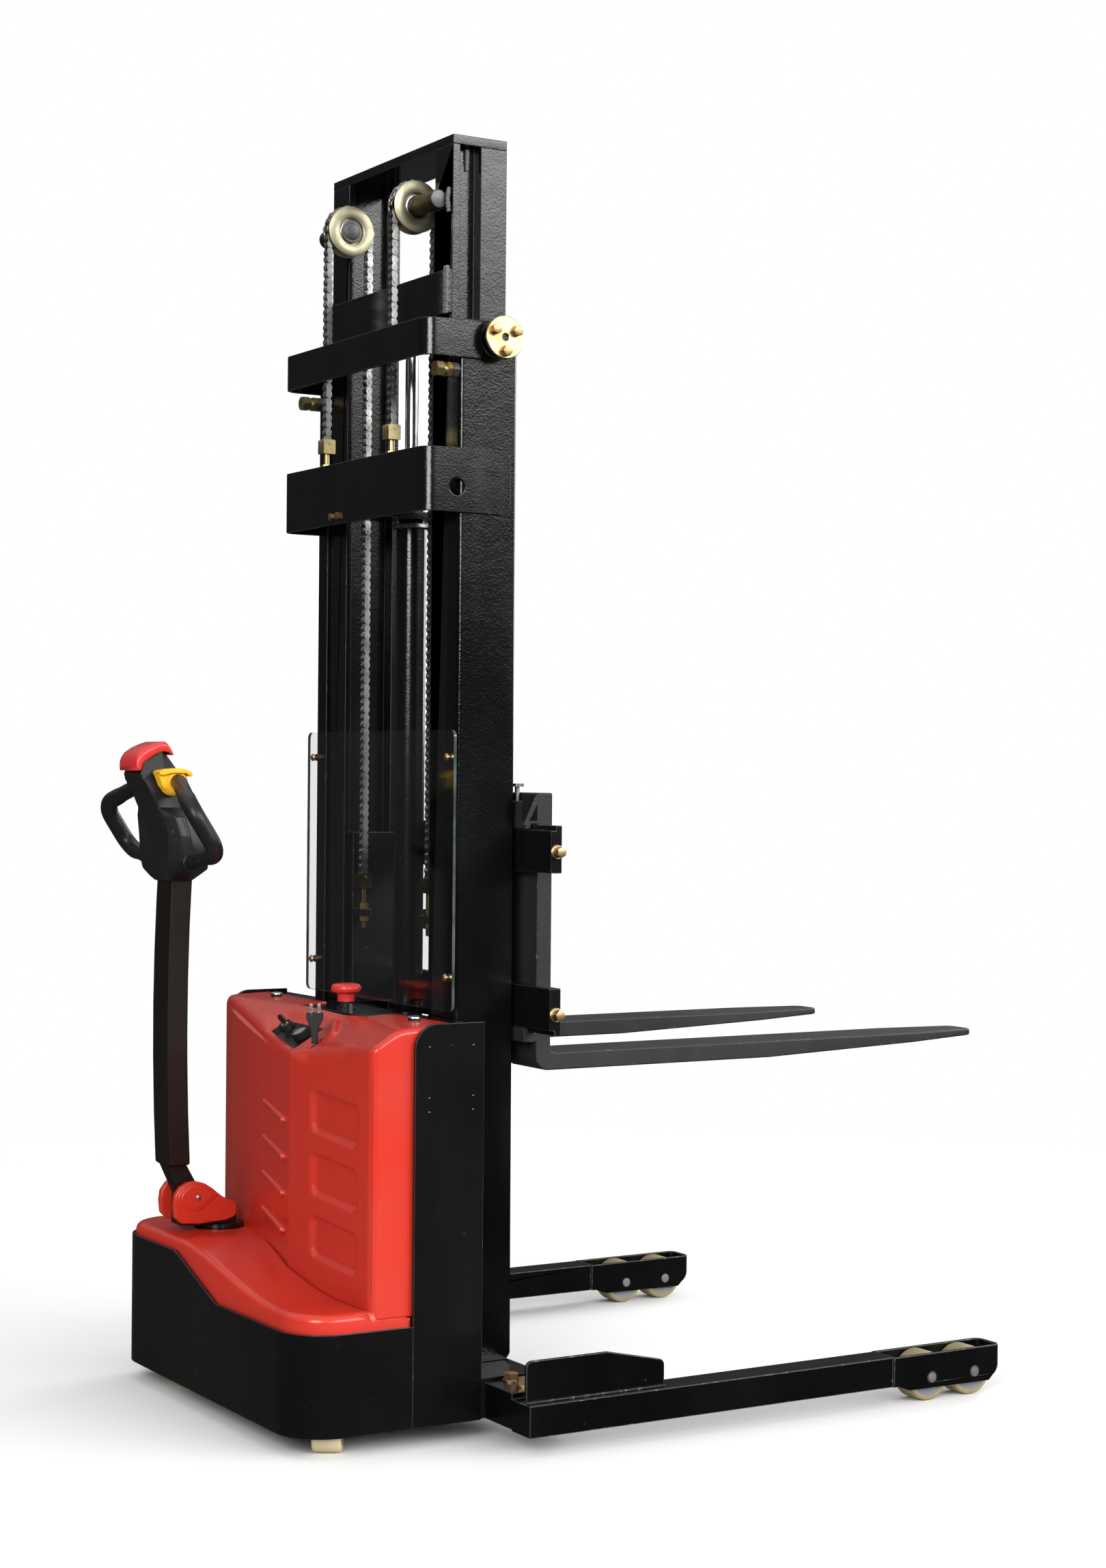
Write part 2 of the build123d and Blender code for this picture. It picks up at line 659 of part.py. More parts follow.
# Inner rails, each with the axles of its foot roller and of its chain wheel
for name, side in SIDES.items():
    with BuildPart() as inner_rail:
        with BuildSketch(Plane.XY.offset(INNER_FOOT)):
            with Locations((INNER_X, side * (INNER_HALF + INNER_EDGE) / 2)):
                Rectangle(INNER_DEPTH, INNER_WIDTH)
            with Locations((INNER_X, side * (INNER_EDGE + CHANNEL_DEPTH / 2))):
                Rectangle(INNER_DEPTH - 2 * INNER_FLANGE, CHANNEL_DEPTH, mode=Mode.SUBTRACT)
            with Locations((GROOVE_X, side * (INNER_HALF - GROOVE_DEPTH / 2))):
                Rectangle(GROOVE_WIDTH, GROOVE_DEPTH, mode=Mode.SUBTRACT)
        extrude(amount=INNER_TOP - TOP_PLATE - INNER_FOOT)
        foot_y = (side * (INNER_HALF - INNER_WIDTH / 2), side * (OUTER_HALF - OUTER_WEB - SIDE_FIT))
        pole_y(MAST_X, foot_y, INNER_FOOT + FOOT_ROLLER_RISE, FOOT_AXLE)
        block((INNER_X - INNER_DEPTH / 2 + INNER_FLANGE, INNER_X + INNER_DEPTH / 2 - INNER_FLANGE),
              (side * INNER_EDGE, side * (INNER_EDGE + CHANNEL_DEPTH)),
              (INNER_FOOT, INNER_FOOT + FOOT_ROLLER_RISE + FOOT_AXLE), Mode.SUBTRACT)
        wheel_inner = side * (WHEEL_Y - WHEEL_WIDTH / 2)
        pole_y(WHEEL_X, (wheel_inner, side * WHEEL_AXLE_END), WHEEL_Z, WHEEL_AXLE)
        block((WHEEL_X, INNER_REAR), (side * (INNER_EDGE + SIDE_FIT), side * WHEEL_AXLE_END),
              (WHEEL_Z - AXLE_SEAT / 2, WHEEL_Z + AXLE_SEAT / 2))
    save(inner_rail.part, f"inner_rail_{name}")

# Inner ties: top plate, cross plate with the shelf on the rod, foot tie
with BuildPart() as inner_ties:
    block((INNER_REAR, INNER_FRONT), (-INNER_HALF, INNER_HALF), (INNER_TOP - TOP_PLATE, INNER_TOP))
    cross_x = (INNER_REAR - CROSS_SHEET, INNER_REAR)
    block(cross_x, (-INNER_HALF, INNER_HALF), (CROSS_LOW, CROSS_LOW + CROSS_TALL))
    block((INNER_REAR, CYLINDER_X + ROD_NUT + SPACER), (-SHELF_HALF, SHELF_HALF),
          (CROSS_LOW, CROSS_LOW + SHELF_SHEET))
    block(cross_x, (-INNER_HALF, INNER_HALF), (INNER_FOOT, INNER_FOOT + TIE_TALL))
save(inner_ties.part, "inner_ties")

# Upper rollers of the mast, carried by the outer rails
rollers = []
for side in SIDES.values():
    groove_y = (side * (INNER_HALF - GROOVE_DEPTH + SIDE_FIT), side * (INNER_HALF - SIDE_FIT))
    with BuildPart() as roller:
        pole_y(GROOVE_X, groove_y, BOSS_Z, GROOVE_WIDTH / 2 - ROLL_FIT)
        pole_y(GROOVE_X, groove_y, BOSS_Z, TOP_AXLE + RUN_FIT, Mode.SUBTRACT)
    rollers.append(roller.part)
with BuildPart() as mast_rollers_top:
    add(rollers)
save(mast_rollers_top.part, "mast_rollers_top")

# Foot rollers of the inner mast, in the outer rails
rollers = []
for side in SIDES.values():
    track_y = (side * (OUTER_TIP + SIDE_FIT), side * (OUTER_HALF - OUTER_WEB - SIDE_FIT))
    with BuildPart() as roller:
        foot_z = INNER_FOOT + FOOT_ROLLER_RISE
        pole_y(MAST_X, track_y, foot_z, OUTER_DEPTH / 2 - OUTER_FLANGE - ROLL_FIT)
        pole_y(MAST_X, track_y, foot_z, FOOT_AXLE + RUN_FIT, Mode.SUBTRACT)
    rollers.append(roller.part)
with BuildPart() as mast_rollers_foot:
    add(rollers)
save(mast_rollers_foot.part, "mast_rollers_foot")

# Chain wheels
wheels = []
for side in SIDES.values():
    wheel_y = (side * WHEEL_Y - WHEEL_WIDTH / 2, side * WHEEL_Y + WHEEL_WIDTH / 2)
    seat_half = CHAIN_WIDE / 2 + ROLL_FIT
    seat_radius = CHAIN_RADIUS - CHAIN_THICK / 2 - ROLL_FIT
    with BuildPart() as wheel:
        pole_y(WHEEL_X, wheel_y, WHEEL_Z, WHEEL_RADIUS)
        with BuildSketch(along_y(WHEEL_X, side * WHEEL_Y, WHEEL_Z, 1)):
            Circle(WHEEL_RADIUS)
            Circle(seat_radius, mode=Mode.SUBTRACT)
        extrude(amount=seat_half, both=True, mode=Mode.SUBTRACT)
        pole_y(WHEEL_X, wheel_y, WHEEL_Z, WHEEL_AXLE + RUN_FIT, Mode.SUBTRACT)
    wheels.append(wheel.part)
with BuildPart() as chain_wheels:
    add(wheels)
save(chain_wheels.part, "chain_wheels")


def chain_strands(x, low, high):
    """Straight run of both chains."""
    with BuildPart() as strands:
        for side in SIDES.values():
            block((x - CHAIN_THICK / 2, x + CHAIN_THICK / 2),
                  (side * WHEEL_Y - CHAIN_WIDE / 2, side * WHEEL_Y + CHAIN_WIDE / 2), (low, high))
    return strands.part


save(chain_strands(BACK_STRAND_X, ANCHOR_TOP, WHEEL_Z), "chain_back_strands")
save(chain_strands(FRONT_STRAND_X, CARRIAGE_CHAIN_END, WHEEL_Z), "chain_front_strands")

# Chain wraps over the wheels
with BuildPart() as chain_wraps:
    for side in SIDES.values():
        with BuildSketch(along_y(WHEEL_X, side * WHEEL_Y, WHEEL_Z, -1)):
            Circle(CHAIN_RADIUS + CHAIN_THICK / 2)
            Circle(CHAIN_RADIUS - CHAIN_THICK / 2, mode=Mode.SUBTRACT)
            with Locations((0, -WHEEL_RADIUS)):
                Rectangle(4 * WHEEL_RADIUS, 2 * WHEEL_RADIUS, mode=Mode.SUBTRACT)
        extrude(amount=CHAIN_WIDE / 2, both=True)
save(chain_wraps.part, "chain_wraps")

# Lift cylinder: barrel, gland and neck, bored for the rod
with BuildPart() as lift_cylinder:
    pole_z(CYLINDER_X, 0, (BASE_TOP, BARREL_TOP), BARREL_RADIUS)
    pole_z(CYLINDER_X, 0, (BARREL_TOP, BARREL_TOP + GLAND_TALL), GLAND_RADIUS)
    neck_top = BARREL_TOP + GLAND_TALL + NECK_TALL
    pole_z(CYLINDER_X, 0, (BARREL_TOP + GLAND_TALL, neck_top), NECK_RADIUS)
    pole_z(CYLINDER_X, 0, (BASE_TOP + FOOT_CLEAR, neck_top), ROD_RADIUS + RUN_FIT, Mode.SUBTRACT)
save(lift_cylinder.part, "lift_cylinder")

# Chrome rod with the nut under the shelf of the inner mast
with BuildPart() as lift_rod:
    pole_z(CYLINDER_X, 0, (CROSS_LOW - ROD_LENGTH, CROSS_LOW), ROD_RADIUS)
    pole_z(CYLINDER_X, 0, (CROSS_LOW - NUT_TALL, CROSS_LOW), ROD_NUT)
save(lift_rod.part, "lift_rod")

# Shield and its screws
screw_places = [(side * SCREW_Y, SHIELD_LOW + SHIELD_TALL - SCREW_EDGE - drop)
                for side in SIDES.values() for drop in (0, SCREW_PITCH)]
with BuildPart() as shield:
    with BuildSketch(along_x(SHIELD_REAR, 0, SHIELD_LOW + SHIELD_TALL / 2, 1)):
        RectangleRounded(2 * SHIELD_HALF, SHIELD_TALL, SHIELD_CORNER)
    extrude(amount=SHIELD_SHEET)
    for y, z in screw_places:
        pole_x((SHIELD_REAR, SHIELD_REAR + SHIELD_SHEET), y, z, SHIELD_SCREW + SCREW_FIT, Mode.SUBTRACT)
save(shield.part, "shield")

with BuildPart() as shield_screws:
    for y, z in screw_places:
        pole_x((SHIELD_REAR - SHIELD_HEAD_TALL, SHIELD_REAR), y, z, SHIELD_HEAD)
        pole_x((SHIELD_REAR, SHIELD_REAR + SHIELD_SHEET), y, z, SHIELD_SCREW)
        pole_x((SHIELD_REAR + SHIELD_SHEET, RAIL_REAR), y, z, SPACER_RADIUS)
save(shield_screws.part, "shield_screws")

# Carriage: two cheeks with roller axles and chain lugs, two rebated fork bars
bar_lows = (BAR_LOW, BAR_TOP - BAR_TALL)
roller_y = (INNER_EDGE + SIDE_FIT, INNER_EDGE + CHANNEL_DEPTH - SIDE_FIT)
with BuildPart() as carriage_frame:
    for low in bar_lows:
        block((BAR_REAR, BAR_FRONT), (-BAR_HALF, BAR_HALF), (low, low + BAR_TALL))
    rebate_x = (BAR_REAR, BAR_REAR + BAR_REBATE)
    block(rebate_x, (-BAR_HALF, BAR_HALF), (BAR_TOP - BAR_REBATE_TALL, BAR_TOP), Mode.SUBTRACT)
    block(rebate_x, (-BAR_HALF, BAR_HALF), (BAR_LOW, BAR_LOW + BAR_REBATE_TALL), Mode.SUBTRACT)
    for side in SIDES.values():
        cheek_y = (side * (CHEEK_HALF - CHEEK_SHEET), side * CHEEK_HALF)
        block((MAST_X - CHEEK_BACK, BAR_REAR), cheek_y, (CHEEK_LOW, CHEEK_TOP))
        for z in (ROLLER_LOW_Z, ROLLER_HIGH_Z):
            pole_y(INNER_X, (side * CHEEK_HALF, side * roller_y[1]), z, CARRIAGE_AXLE)
        lug_y = (side * (WHEEL_Y - ANCHOR_SIZE / 2), side * (CHEEK_HALF - CHEEK_SHEET))
        block((FRONT_STRAND_X - ANCHOR_SIZE / 2, FRONT_STRAND_X + ANCHOR_SIZE / 2), lug_y,
              (LUG_Z - LUG_SHEET, LUG_Z))
        stud = STUD_RADIUS + SCREW_FIT
        pole_z(FRONT_STRAND_X, side * WHEEL_Y, (LUG_Z - LUG_SHEET, LUG_Z), stud, Mode.SUBTRACT)
        for z in (STOP_HIGH_Z, STOP_LOW_Z):
            bolt_y = (side * (BAR_HALF - STOP_LENGTH), side * BAR_HALF)
            pole_y(BAR_REAR + BAR_THICK / 2, bolt_y, z, STOP_RADIUS + SCREW_FIT, Mode.SUBTRACT)
save(carriage_frame.part, "carriage_frame")

anchors = []
for side in SIDES.values():
    faces = ((LUG_Z, 1), (LUG_Z - LUG_SHEET, -1))
    anchors.append(chain_anchor(FRONT_STRAND_X, side * WHEEL_Y, CARRIAGE_CHAIN_END, faces))
with BuildPart() as carriage_chain_anchors:
    add(anchors)
save(carriage_chain_anchors.part, "carriage_chain_anchors")

# Stop bolts in the ends of the fork bars
bolts = []
for side in SIDES.values():
    for z in (STOP_HIGH_Z, STOP_LOW_Z):
        x = BAR_REAR + BAR_THICK / 2
        washer_end = side * (BAR_HALF + STOP_WASHER_SHEET)
        with BuildPart() as stop_bolt:
            pole_y(x, (side * (BAR_HALF - STOP_LENGTH + SIDE_FIT), side * BAR_HALF), z, STOP_RADIUS)
            pole_y(x, (side * BAR_HALF, washer_end), z, STOP_WASHER)
            add(hexagon(along_y(x, washer_end, z, side), STOP_HEAD, STOP_HEAD_TALL))
        bolts.append(stop_bolt.part)
with BuildPart() as fork_stop_bolts:
    add(bolts)
save(fork_stop_bolts.part, "fork_stop_bolts")

# Carriage rollers, an upper and a lower pair
for name, z in (("upper", ROLLER_HIGH_Z), ("lower", ROLLER_LOW_Z)):
    rollers = []
    for side in SIDES.values():
        track_y = (side * roller_y[0], side * roller_y[1])
        with BuildPart() as roller:
            pole_y(INNER_X, track_y, z, INNER_DEPTH / 2 - INNER_FLANGE - ROLL_FIT)
            pole_y(INNER_X, track_y, z, CARRIAGE_AXLE + RUN_FIT, Mode.SUBTRACT)
        rollers.append(roller.part)
    with BuildPart() as carriage_rollers:
        add(rollers)
    save(carriage_rollers.part, f"carriage_rollers_{name}")

# Forks with an upper and a lower hook, and their lock pins
lip_rear = BAR_REAR - HOOK_LIP
lip_front = BAR_REAR + BAR_REBATE - HOOK_FIT
hook_low = BAR_TOP - BAR_REBATE_TALL + HOOK_FIT
hook_gap = BAR_TOP + HOOK_FIT
pin_x = BAR_REAR + BAR_THICK / 2 + SIDE_FIT
for name, side in SIDES.items():
    fork_plane = along_y(0, side * FORK_Y, 0, -1)
    with BuildPart() as fork:
        with BuildSketch(fork_plane):
            Polygon((BAR_FRONT, SHANK_TOP), (BAR_FRONT, FORK_TOP - FORK_THICK),
                    (FORK_TIP - FORK_LENGTH / 2, FORK_TOP - FORK_THICK), (FORK_TIP, FORK_TOP - TIP_THICK),
                    (FORK_TIP, FORK_TOP), (BAR_FRONT + FORK_THICK, FORK_TOP),
                    (BAR_FRONT + FORK_THICK, SHANK_TOP), align=None)
            heel = vertices().filter_by(lambda v: v.X < BAR_FRONT + FORK_THICK / 2)
            fillet(heel.group_by(Axis.Y)[0], HEEL_OUTER)
            inner = vertices().filter_by(lambda v: abs(v.X - BAR_FRONT - FORK_THICK) < SIDE_FIT)
            fillet(inner.group_by(Axis.Y)[0], HEEL_INNER)
        extrude(amount=FORK_WIDE / 2, both=True)
        with BuildSketch(fork_plane):
            Polygon((lip_rear, hook_low), (lip_front, hook_low), (lip_front, hook_gap),
                    (BAR_FRONT, hook_gap), (BAR_FRONT, HOOK_TOP), (pin_x - 2 * PIN_RADIUS, HOOK_TOP),
                    (lip_rear, hook_gap + BAR_REBATE_TALL), align=None)
            low_lip = BAR_LOW + BAR_REBATE_TALL - HOOK_FIT
            low_gap = BAR_LOW - HOOK_FIT
            Polygon((lip_rear, low_lip), (lip_front, low_lip), (lip_front, low_gap), (BAR_FRONT, low_gap),
                    (BAR_FRONT, low_gap - LOW_HOOK_DROP), (lip_rear, low_gap - LOW_HOOK_DROP), align=None)
        extrude(amount=FORK_WIDE / 2, both=True)
        pole_z(pin_x, side * FORK_Y, (hook_gap, HOOK_TOP), PIN_RADIUS + RUN_FIT, Mode.SUBTRACT)
        with BuildSketch(Plane.XY.offset(FORK_TOP)):
            for edge in (1, -1):
                Polygon((FORK_TIP - TIP_TAPER, side * FORK_Y + edge * FORK_WIDE / 2),
                        (FORK_TIP, side * FORK_Y + edge * TIP_WIDE / 2),
                        (FORK_TIP, side * FORK_Y + edge * FORK_WIDE / 2), align=None)
        extrude(amount=-FORK_THICK, mode=Mode.SUBTRACT)
        tip_edges = fork.edges().filter_by(Axis.Z).group_by(Axis.X)[-1]
        fillet(tip_edges, TIP_ROUND)
    save(fork.part, f"fork_{name}")
    with BuildPart() as fork_pin:
        pole_z(pin_x, side * FORK_Y, (hook_gap, PIN_TOP), PIN_RADIUS)
        pole_z(pin_x, side * FORK_Y, (PIN_TOP - PIN_HEAD_TALL, PIN_TOP), PIN_HEAD)
    save(fork_pin.part, f"fork_pin_{name}")

# Base frame: mast beam, tray, bulkhead, battery deck, steering and caster shelves
bulk_front = BULKHEAD_REAR + TRAY_SHEET
deck_low = DECK_TOP - DECK_SHEET
skirt_inner = SKIRT_REAR + SHEET
hood_inner = skirt_inner + HOOD_FIT + HOOD_WALL
with BuildPart() as base_frame:
    whole_width = (-SIDE_INNER, SIDE_INNER)
    beam_rear = MAST_X - BEAM_HALF_DEPTH
    block((beam_rear, MAST_X + BEAM_HALF_DEPTH), whole_width, (SKIRT_LOW, BASE_TOP))
    block((BULKHEAD_REAR, beam_rear), whole_width, (BASE_TOP - TRAY_SHEET, BASE_TOP))
    block((BULKHEAD_REAR, bulk_front), whole_width, (BASE_TOP - TRAY_SHEET, DECK_TOP))
    block((MAST_X - DECK_BACK, MAST_X - PLATE_FRONT), whole_width, (deck_low, DECK_TOP))
    shelf_z = (STEER_SHELF_LOW, STEER_SHELF_LOW + STEER_SHELF_SHEET)
    block((hood_inner + HOOD_FIT, BULKHEAD_REAR), (STEER_SHELF_RIGHT, STEER_SHELF_LEFT), shelf_z)
    pole_z(STEER_X, TILLER_Y, shelf_z, STEER_NECK + RUN_FIT, Mode.SUBTRACT)
    caster_z = (CASTER_SHELF_LOW, CASTER_SHELF_LOW + TRAY_SHEET)
    block((MAST_X - CASTER_SHELF_BACK, BULKHEAD_REAR), (CASTER_SHELF_RIGHT, CASTER_SHELF_LEFT), caster_z)
    pole_z(MAST_X - CASTER_X_BACK, CASTER_Y, caster_z, CASTER_STEM + RUN_FIT, Mode.SUBTRACT)
save(base_frame.part, "base_frame")

# Skirt with its stepped top edge
with BuildPart() as skirt:
    with BuildSketch(Plane.XY.offset(SKIRT_LOW)):
        with Locations(((SKIRT_REAR + PLATE_REAR) / 2, 0)):
            Rectangle(PLATE_REAR - SKIRT_REAR, 2 * SIDE_HALF)
        fillet(vertices().group_by(Axis.X)[0], SKIRT_BEND)
        with BuildSketch(Plane.XY.offset(SKIRT_LOW), mode=Mode.SUBTRACT):
            with Locations(((SKIRT_REAR + PLATE_REAR) / 2 + SHEET, 0)):
                Rectangle(PLATE_REAR - SKIRT_REAR, 2 * SIDE_INNER)
            fillet(vertices().group_by(Axis.X)[0], SKIRT_BEND - SHEET)
    extrude(amount=SKIRT_HIGH - SKIRT_LOW)
    with BuildSketch(Plane.YZ.offset(SKIRT_REAR)):
        Polygon((SKIRT_SLOPE_LEFT, SKIRT_HIGH), (SKIRT_SLOPE_RIGHT, SKIRT_STEP), (-SIDE_HALF, SKIRT_STEP),
                (-SIDE_HALF, SKIRT_HIGH), align=None)
    extrude(amount=PLATE_REAR - SKIRT_REAR, mode=Mode.SUBTRACT)
save(skirt.part, "skirt")

# Side plates with a rounded upper rear corner
for name, side in SIDES.items():
    with BuildPart() as side_plate:
        plate_y = (side * SIDE_INNER, side * SIDE_HALF)
        block((PLATE_REAR, MAST_X - PLATE_FRONT), plate_y, (SKIRT_LOW, PLATE_TOP))
        corner = side_plate.edges().filter_by(Axis.Y).group_by(Axis.Z)[-1].sort_by(Axis.X)[0]
        fillet(corner, PLATE_ROUND)
    save(side_plate.part, f"side_plate_{name}")

# Top panel with the tongue that carries the stop button
with BuildPart() as top_panel:
    panel_z = (PANEL_LOW, PANEL_LOW + PANEL_SHEET)
    block((MAST_X - PANEL_BACK, MAST_X - PLATE_FRONT), (-SIDE_INNER, SIDE_INNER), panel_z)
    block((MAST_X - PANEL_TONGUE, MAST_X - PANEL_BACK), (TONGUE_RIGHT, TONGUE_LEFT), panel_z)
save(top_panel.part, "top_panel")


def plane_through(a, b, c):
    """Plane through three points, facing up."""
    normal = (Vector(*b) - Vector(*a)).cross(Vector(*c) - Vector(*a)).normalized()
    if normal.Z < 0:
        normal = normal * -1
    across = (Vector(0, 1, 0) - normal * normal.Y).normalized()
    return Plane(origin=a, x_dir=across, z_dir=normal)


hood_slope = plane_through((0, HOOD_SLOPE_START, HOOD_TOP), (0, -COVER_HALF, HOOD_RIGHT_TOP),
                           (1, -COVER_HALF, HOOD_RIGHT_TOP))
cover_front = MAST_X - COVER_FRONT
cover_top = plane_through((cover_front, 0, COVER_FRONT_TOP), (cover_front, 1, COVER_FRONT_TOP),
                          (cover_front - COVER_HALF, 0, COVER_FRONT_TOP - COVER_SLOPE * COVER_HALF))
crease_x = MAST_X - CREASE_BACK
crease_end = (crease_x, CREASE_Y, CREASE_TOP)
valley_end = (crease_x + VALLEY_RUN, CREASE_Y, CREASE_TOP + VALLEY_CLIMB)
cover_left = plane_through(crease_end, (PLATE_REAR, COVER_HALF, COVER_LEFT_TOP), valley_end)
cover_right = plane_through(crease_end, (MAST_X - COVER_RIGHT_BACK, -COVER_HALF, COVER_RIGHT_TOP), valley_end)


def hood_form(inset, front):
    """Solid under the hood's top, drawn in by a wall."""
    rear = skirt_inner + HOOD_FIT + inset
    half = SIDE_INNER - HOOD_FIT - inset
    with BuildPart() as form:
        with BuildSketch(Plane.XY.offset(HOOD_LOW)):
            with Locations(((rear + front) / 2, 0)):
                Rectangle(front - rear, 2 * half)
            fillet(vertices().group_by(Axis.X)[0], SKIRT_BEND - SHEET - HOOD_FIT - inset)
        extrude(amount=HOOD_TOP - inset - HOOD_LOW)
        split(bisect_by=hood_slope.offset(-inset), keep=Keep.BOTTOM)
    return form.part


# Motor hood, a moulded shell with the steering hole
with BuildPart() as motor_hood:
    add(hood_form(0, PLATE_REAR))
    add(hood_form(HOOD_WALL, PLATE_REAR + SHEET), mode=Mode.SUBTRACT)
    pole_z(STEER_X, TILLER_Y, (HOOD_LOW, HOOD_TOP + SEAM), STEER_NECK + HOOD_NECK_GAP, Mode.SUBTRACT)
save(motor_hood.part, "motor_hood")


def cover_half(inset, facet):
    """Solid inside the cover's outline and under one of its two rear facets, drawn in by a wall."""
    with BuildPart() as form:
        with BuildSketch(Plane.XY.offset(HOOD_LOW)):
            Polygon((cover_front, COVER_HALF), (PLATE_REAR, COVER_HALF),
                    (MAST_X - CREASE_BACK, CREASE_Y), (MAST_X - COVER_RIGHT_BACK, -COVER_HALF),
                    (cover_front, -COVER_HALF), align=None)
            right_rear = vertices().group_by(Axis.Y)[0].sort_by(Axis.X)[0]
            fillet(right_rear, COVER_ROUND)
            if inset:
                offset(amount=-inset, kind=Kind.INTERSECTION)
        extrude(amount=COVER_FRONT_TOP - HOOD_LOW)
        split(bisect_by=cover_top.offset(-inset), keep=Keep.BOTTOM)
        split(bisect_by=facet.offset(-inset), keep=Keep.BOTTOM)
    return form.part


def cover_form(inset):
    """Solid inside the cover, whose facets meet in a valley at the crease."""
    with BuildPart() as form:
        for facet in (cover_left, cover_right):
            add(cover_half(inset, facet))
    return form.part


def on_facet(ahead, y):
    """Place on the cover's left facet, counted ahead of the crease, in the facet's own measure."""
    normal = cover_left.z_dir
    climb = -(normal.X * ahead + normal.Y * (y - CREASE_Y)) / normal.Z
    place = cover_left.to_local_coords(Vector(crease_x + ahead, y, CREASE_TOP + climb))
    return (place.X, place.Y)


def well(grow, top, depth):
    """Solid in the outline of the switch well, from a depth under the facet downwards."""
    with BuildPart() as form:
        with BuildSketch(cover_left.offset(-top)):
            Polygon(*[on_facet(ahead, y) for ahead, y in WELL_CORNERS], align=None)
            if grow:
                offset(amount=grow, kind=Kind.INTERSECTION)
        extrude(amount=-depth)
    return form.part


# Battery cover: a moulded shell with the switch well, plug hole, pressed panels and screw holes
knob_places = [cover_top.to_local_coords(Vector(MAST_X - KNOB_BACK, side * KNOB_Y,
                                                COVER_FRONT_TOP - COVER_SLOPE * (KNOB_BACK - COVER_FRONT)))
               for side in SIDES.values()]
plug_x = (MAST_X - PLUG_BACK - PLUG_WIDE / 2, MAST_X - PLUG_BACK + PLUG_WIDE / 2)
plug_y = (PLUG_Y - PLUG_LONG / 2, PLUG_Y + PLUG_LONG / 2)
with BuildPart() as battery_cover:
    add(cover_form(0))
    add(cover_form(COVER_WALL), mode=Mode.SUBTRACT)
    block((cover_front - COVER_WALL, cover_front),
          (-COVER_HALF + COVER_WALL, COVER_HALF - COVER_WALL),
          (HOOD_LOW, COVER_FRONT_TOP - 2 * COVER_WALL), Mode.SUBTRACT)
    with BuildSketch(Plane.YZ.offset(SKIRT_REAR)):
        Polygon((SIDE_HALF, HOOD_LOW), (SIDE_HALF, HOOD_TOP + SEAM), (HOOD_SLOPE_START, HOOD_TOP + SEAM),
                (-COVER_HALF, HOOD_RIGHT_TOP + SEAM), (-SIDE_HALF, HOOD_RIGHT_TOP + SEAM - SHEET / 2),
                (-SIDE_HALF, HOOD_LOW), align=None)
    extrude(amount=SKIRT_BACK, mode=Mode.SUBTRACT)
    block((MAST_X - DECK_BACK - SIDE_FIT, cover_front), (-SIDE_HALF, SIDE_HALF),
          (HOOD_LOW, DECK_TOP + SIDE_FIT), Mode.SUBTRACT)
    block((MAST_X - PANEL_TONGUE - COVER_NOTCH, cover_front),
          (TONGUE_RIGHT - COVER_NOTCH, TONGUE_LEFT + COVER_NOTCH),
          (DECK_TOP, COVER_FRONT_TOP), Mode.SUBTRACT)
    add(well(0, 0, 2 * COVER_WALL), mode=Mode.SUBTRACT)
    block(plug_x, plug_y, (PLUG_LOW, COVER_FRONT_TOP), Mode.SUBTRACT)
    for place in knob_places:
        with BuildSketch(cover_top):
            with Locations((place.X, place.Y)):
                Circle(KNOB_STEM + SCREW_FIT)
        extrude(amount=-2 * COVER_WALL, mode=Mode.SUBTRACT)
    press_plane = Plane(origin=(MAST_X - CREASE_BACK, CREASE_Y, 0),
                        x_dir=(COVER_RIGHT_BACK - CREASE_BACK, COVER_HALF + CREASE_Y, 0),
                        z_dir=(COVER_HALF + CREASE_Y, CREASE_BACK - COVER_RIGHT_BACK, 0))
    for step in range(3):
        with BuildSketch(press_plane):
            with Locations((PRESS_Y - CREASE_Y, PRESS_LOW + PRESS_TALL / 2 + step * PRESS_PITCH)):
                RectangleRounded(PRESS_WIDE, PRESS_TALL, PRESS_ROUND)
        extrude(amount=PRESS_DEEP, mode=Mode.SUBTRACT)
save(battery_cover.part, "battery_cover")

# Switch housings: the well's tray with the gauge and key collar, and the stop button's collar
panel_top = PANEL_LOW + PANEL_SHEET
stop_x = MAST_X - STOP_X_BACK
well_floor = COVER_WALL + WELL_DEEP
gauge_place = on_facet(GAUGE_AHEAD, GAUGE_Y)
key_place = on_facet(KEY_AHEAD, KEY_Y)
with BuildPart() as switch_housings:
    add(well(WELL_RIM, COVER_WALL, WELL_DEEP + WELL_FLOOR))
    add(cover_form(COVER_WALL), mode=Mode.INTERSECT)
    add(well(0, COVER_WALL, WELL_DEEP), mode=Mode.SUBTRACT)
    with BuildSketch(cover_left.offset(-well_floor)):
        with Locations(key_place):
            Circle(KEY_COLLAR)
    extrude(amount=GAUGE_TALL)
    with BuildSketch(cover_left.offset(-well_floor)):
        with Locations(gauge_place):
            Circle(GAUGE_RADIUS)
    extrude(amount=GAUGE_TALL)
    with BuildSketch(cover_left.offset(GAUGE_TALL - well_floor)):
        with Locations(key_place):
            Circle(KEY_RADIUS + RUN_FIT)
    extrude(amount=-WELL_FLOOR, mode=Mode.SUBTRACT)
    pole_z(stop_x, STOP_Y, (panel_top, panel_top + COLLAR_TALL), COLLAR_RADIUS)
    pole_z(stop_x, STOP_Y, (panel_top, panel_top + COLLAR_TALL), BUTTON_STEM + RUN_FIT, Mode.SUBTRACT)
save(switch_housings.part, "switch_housings")

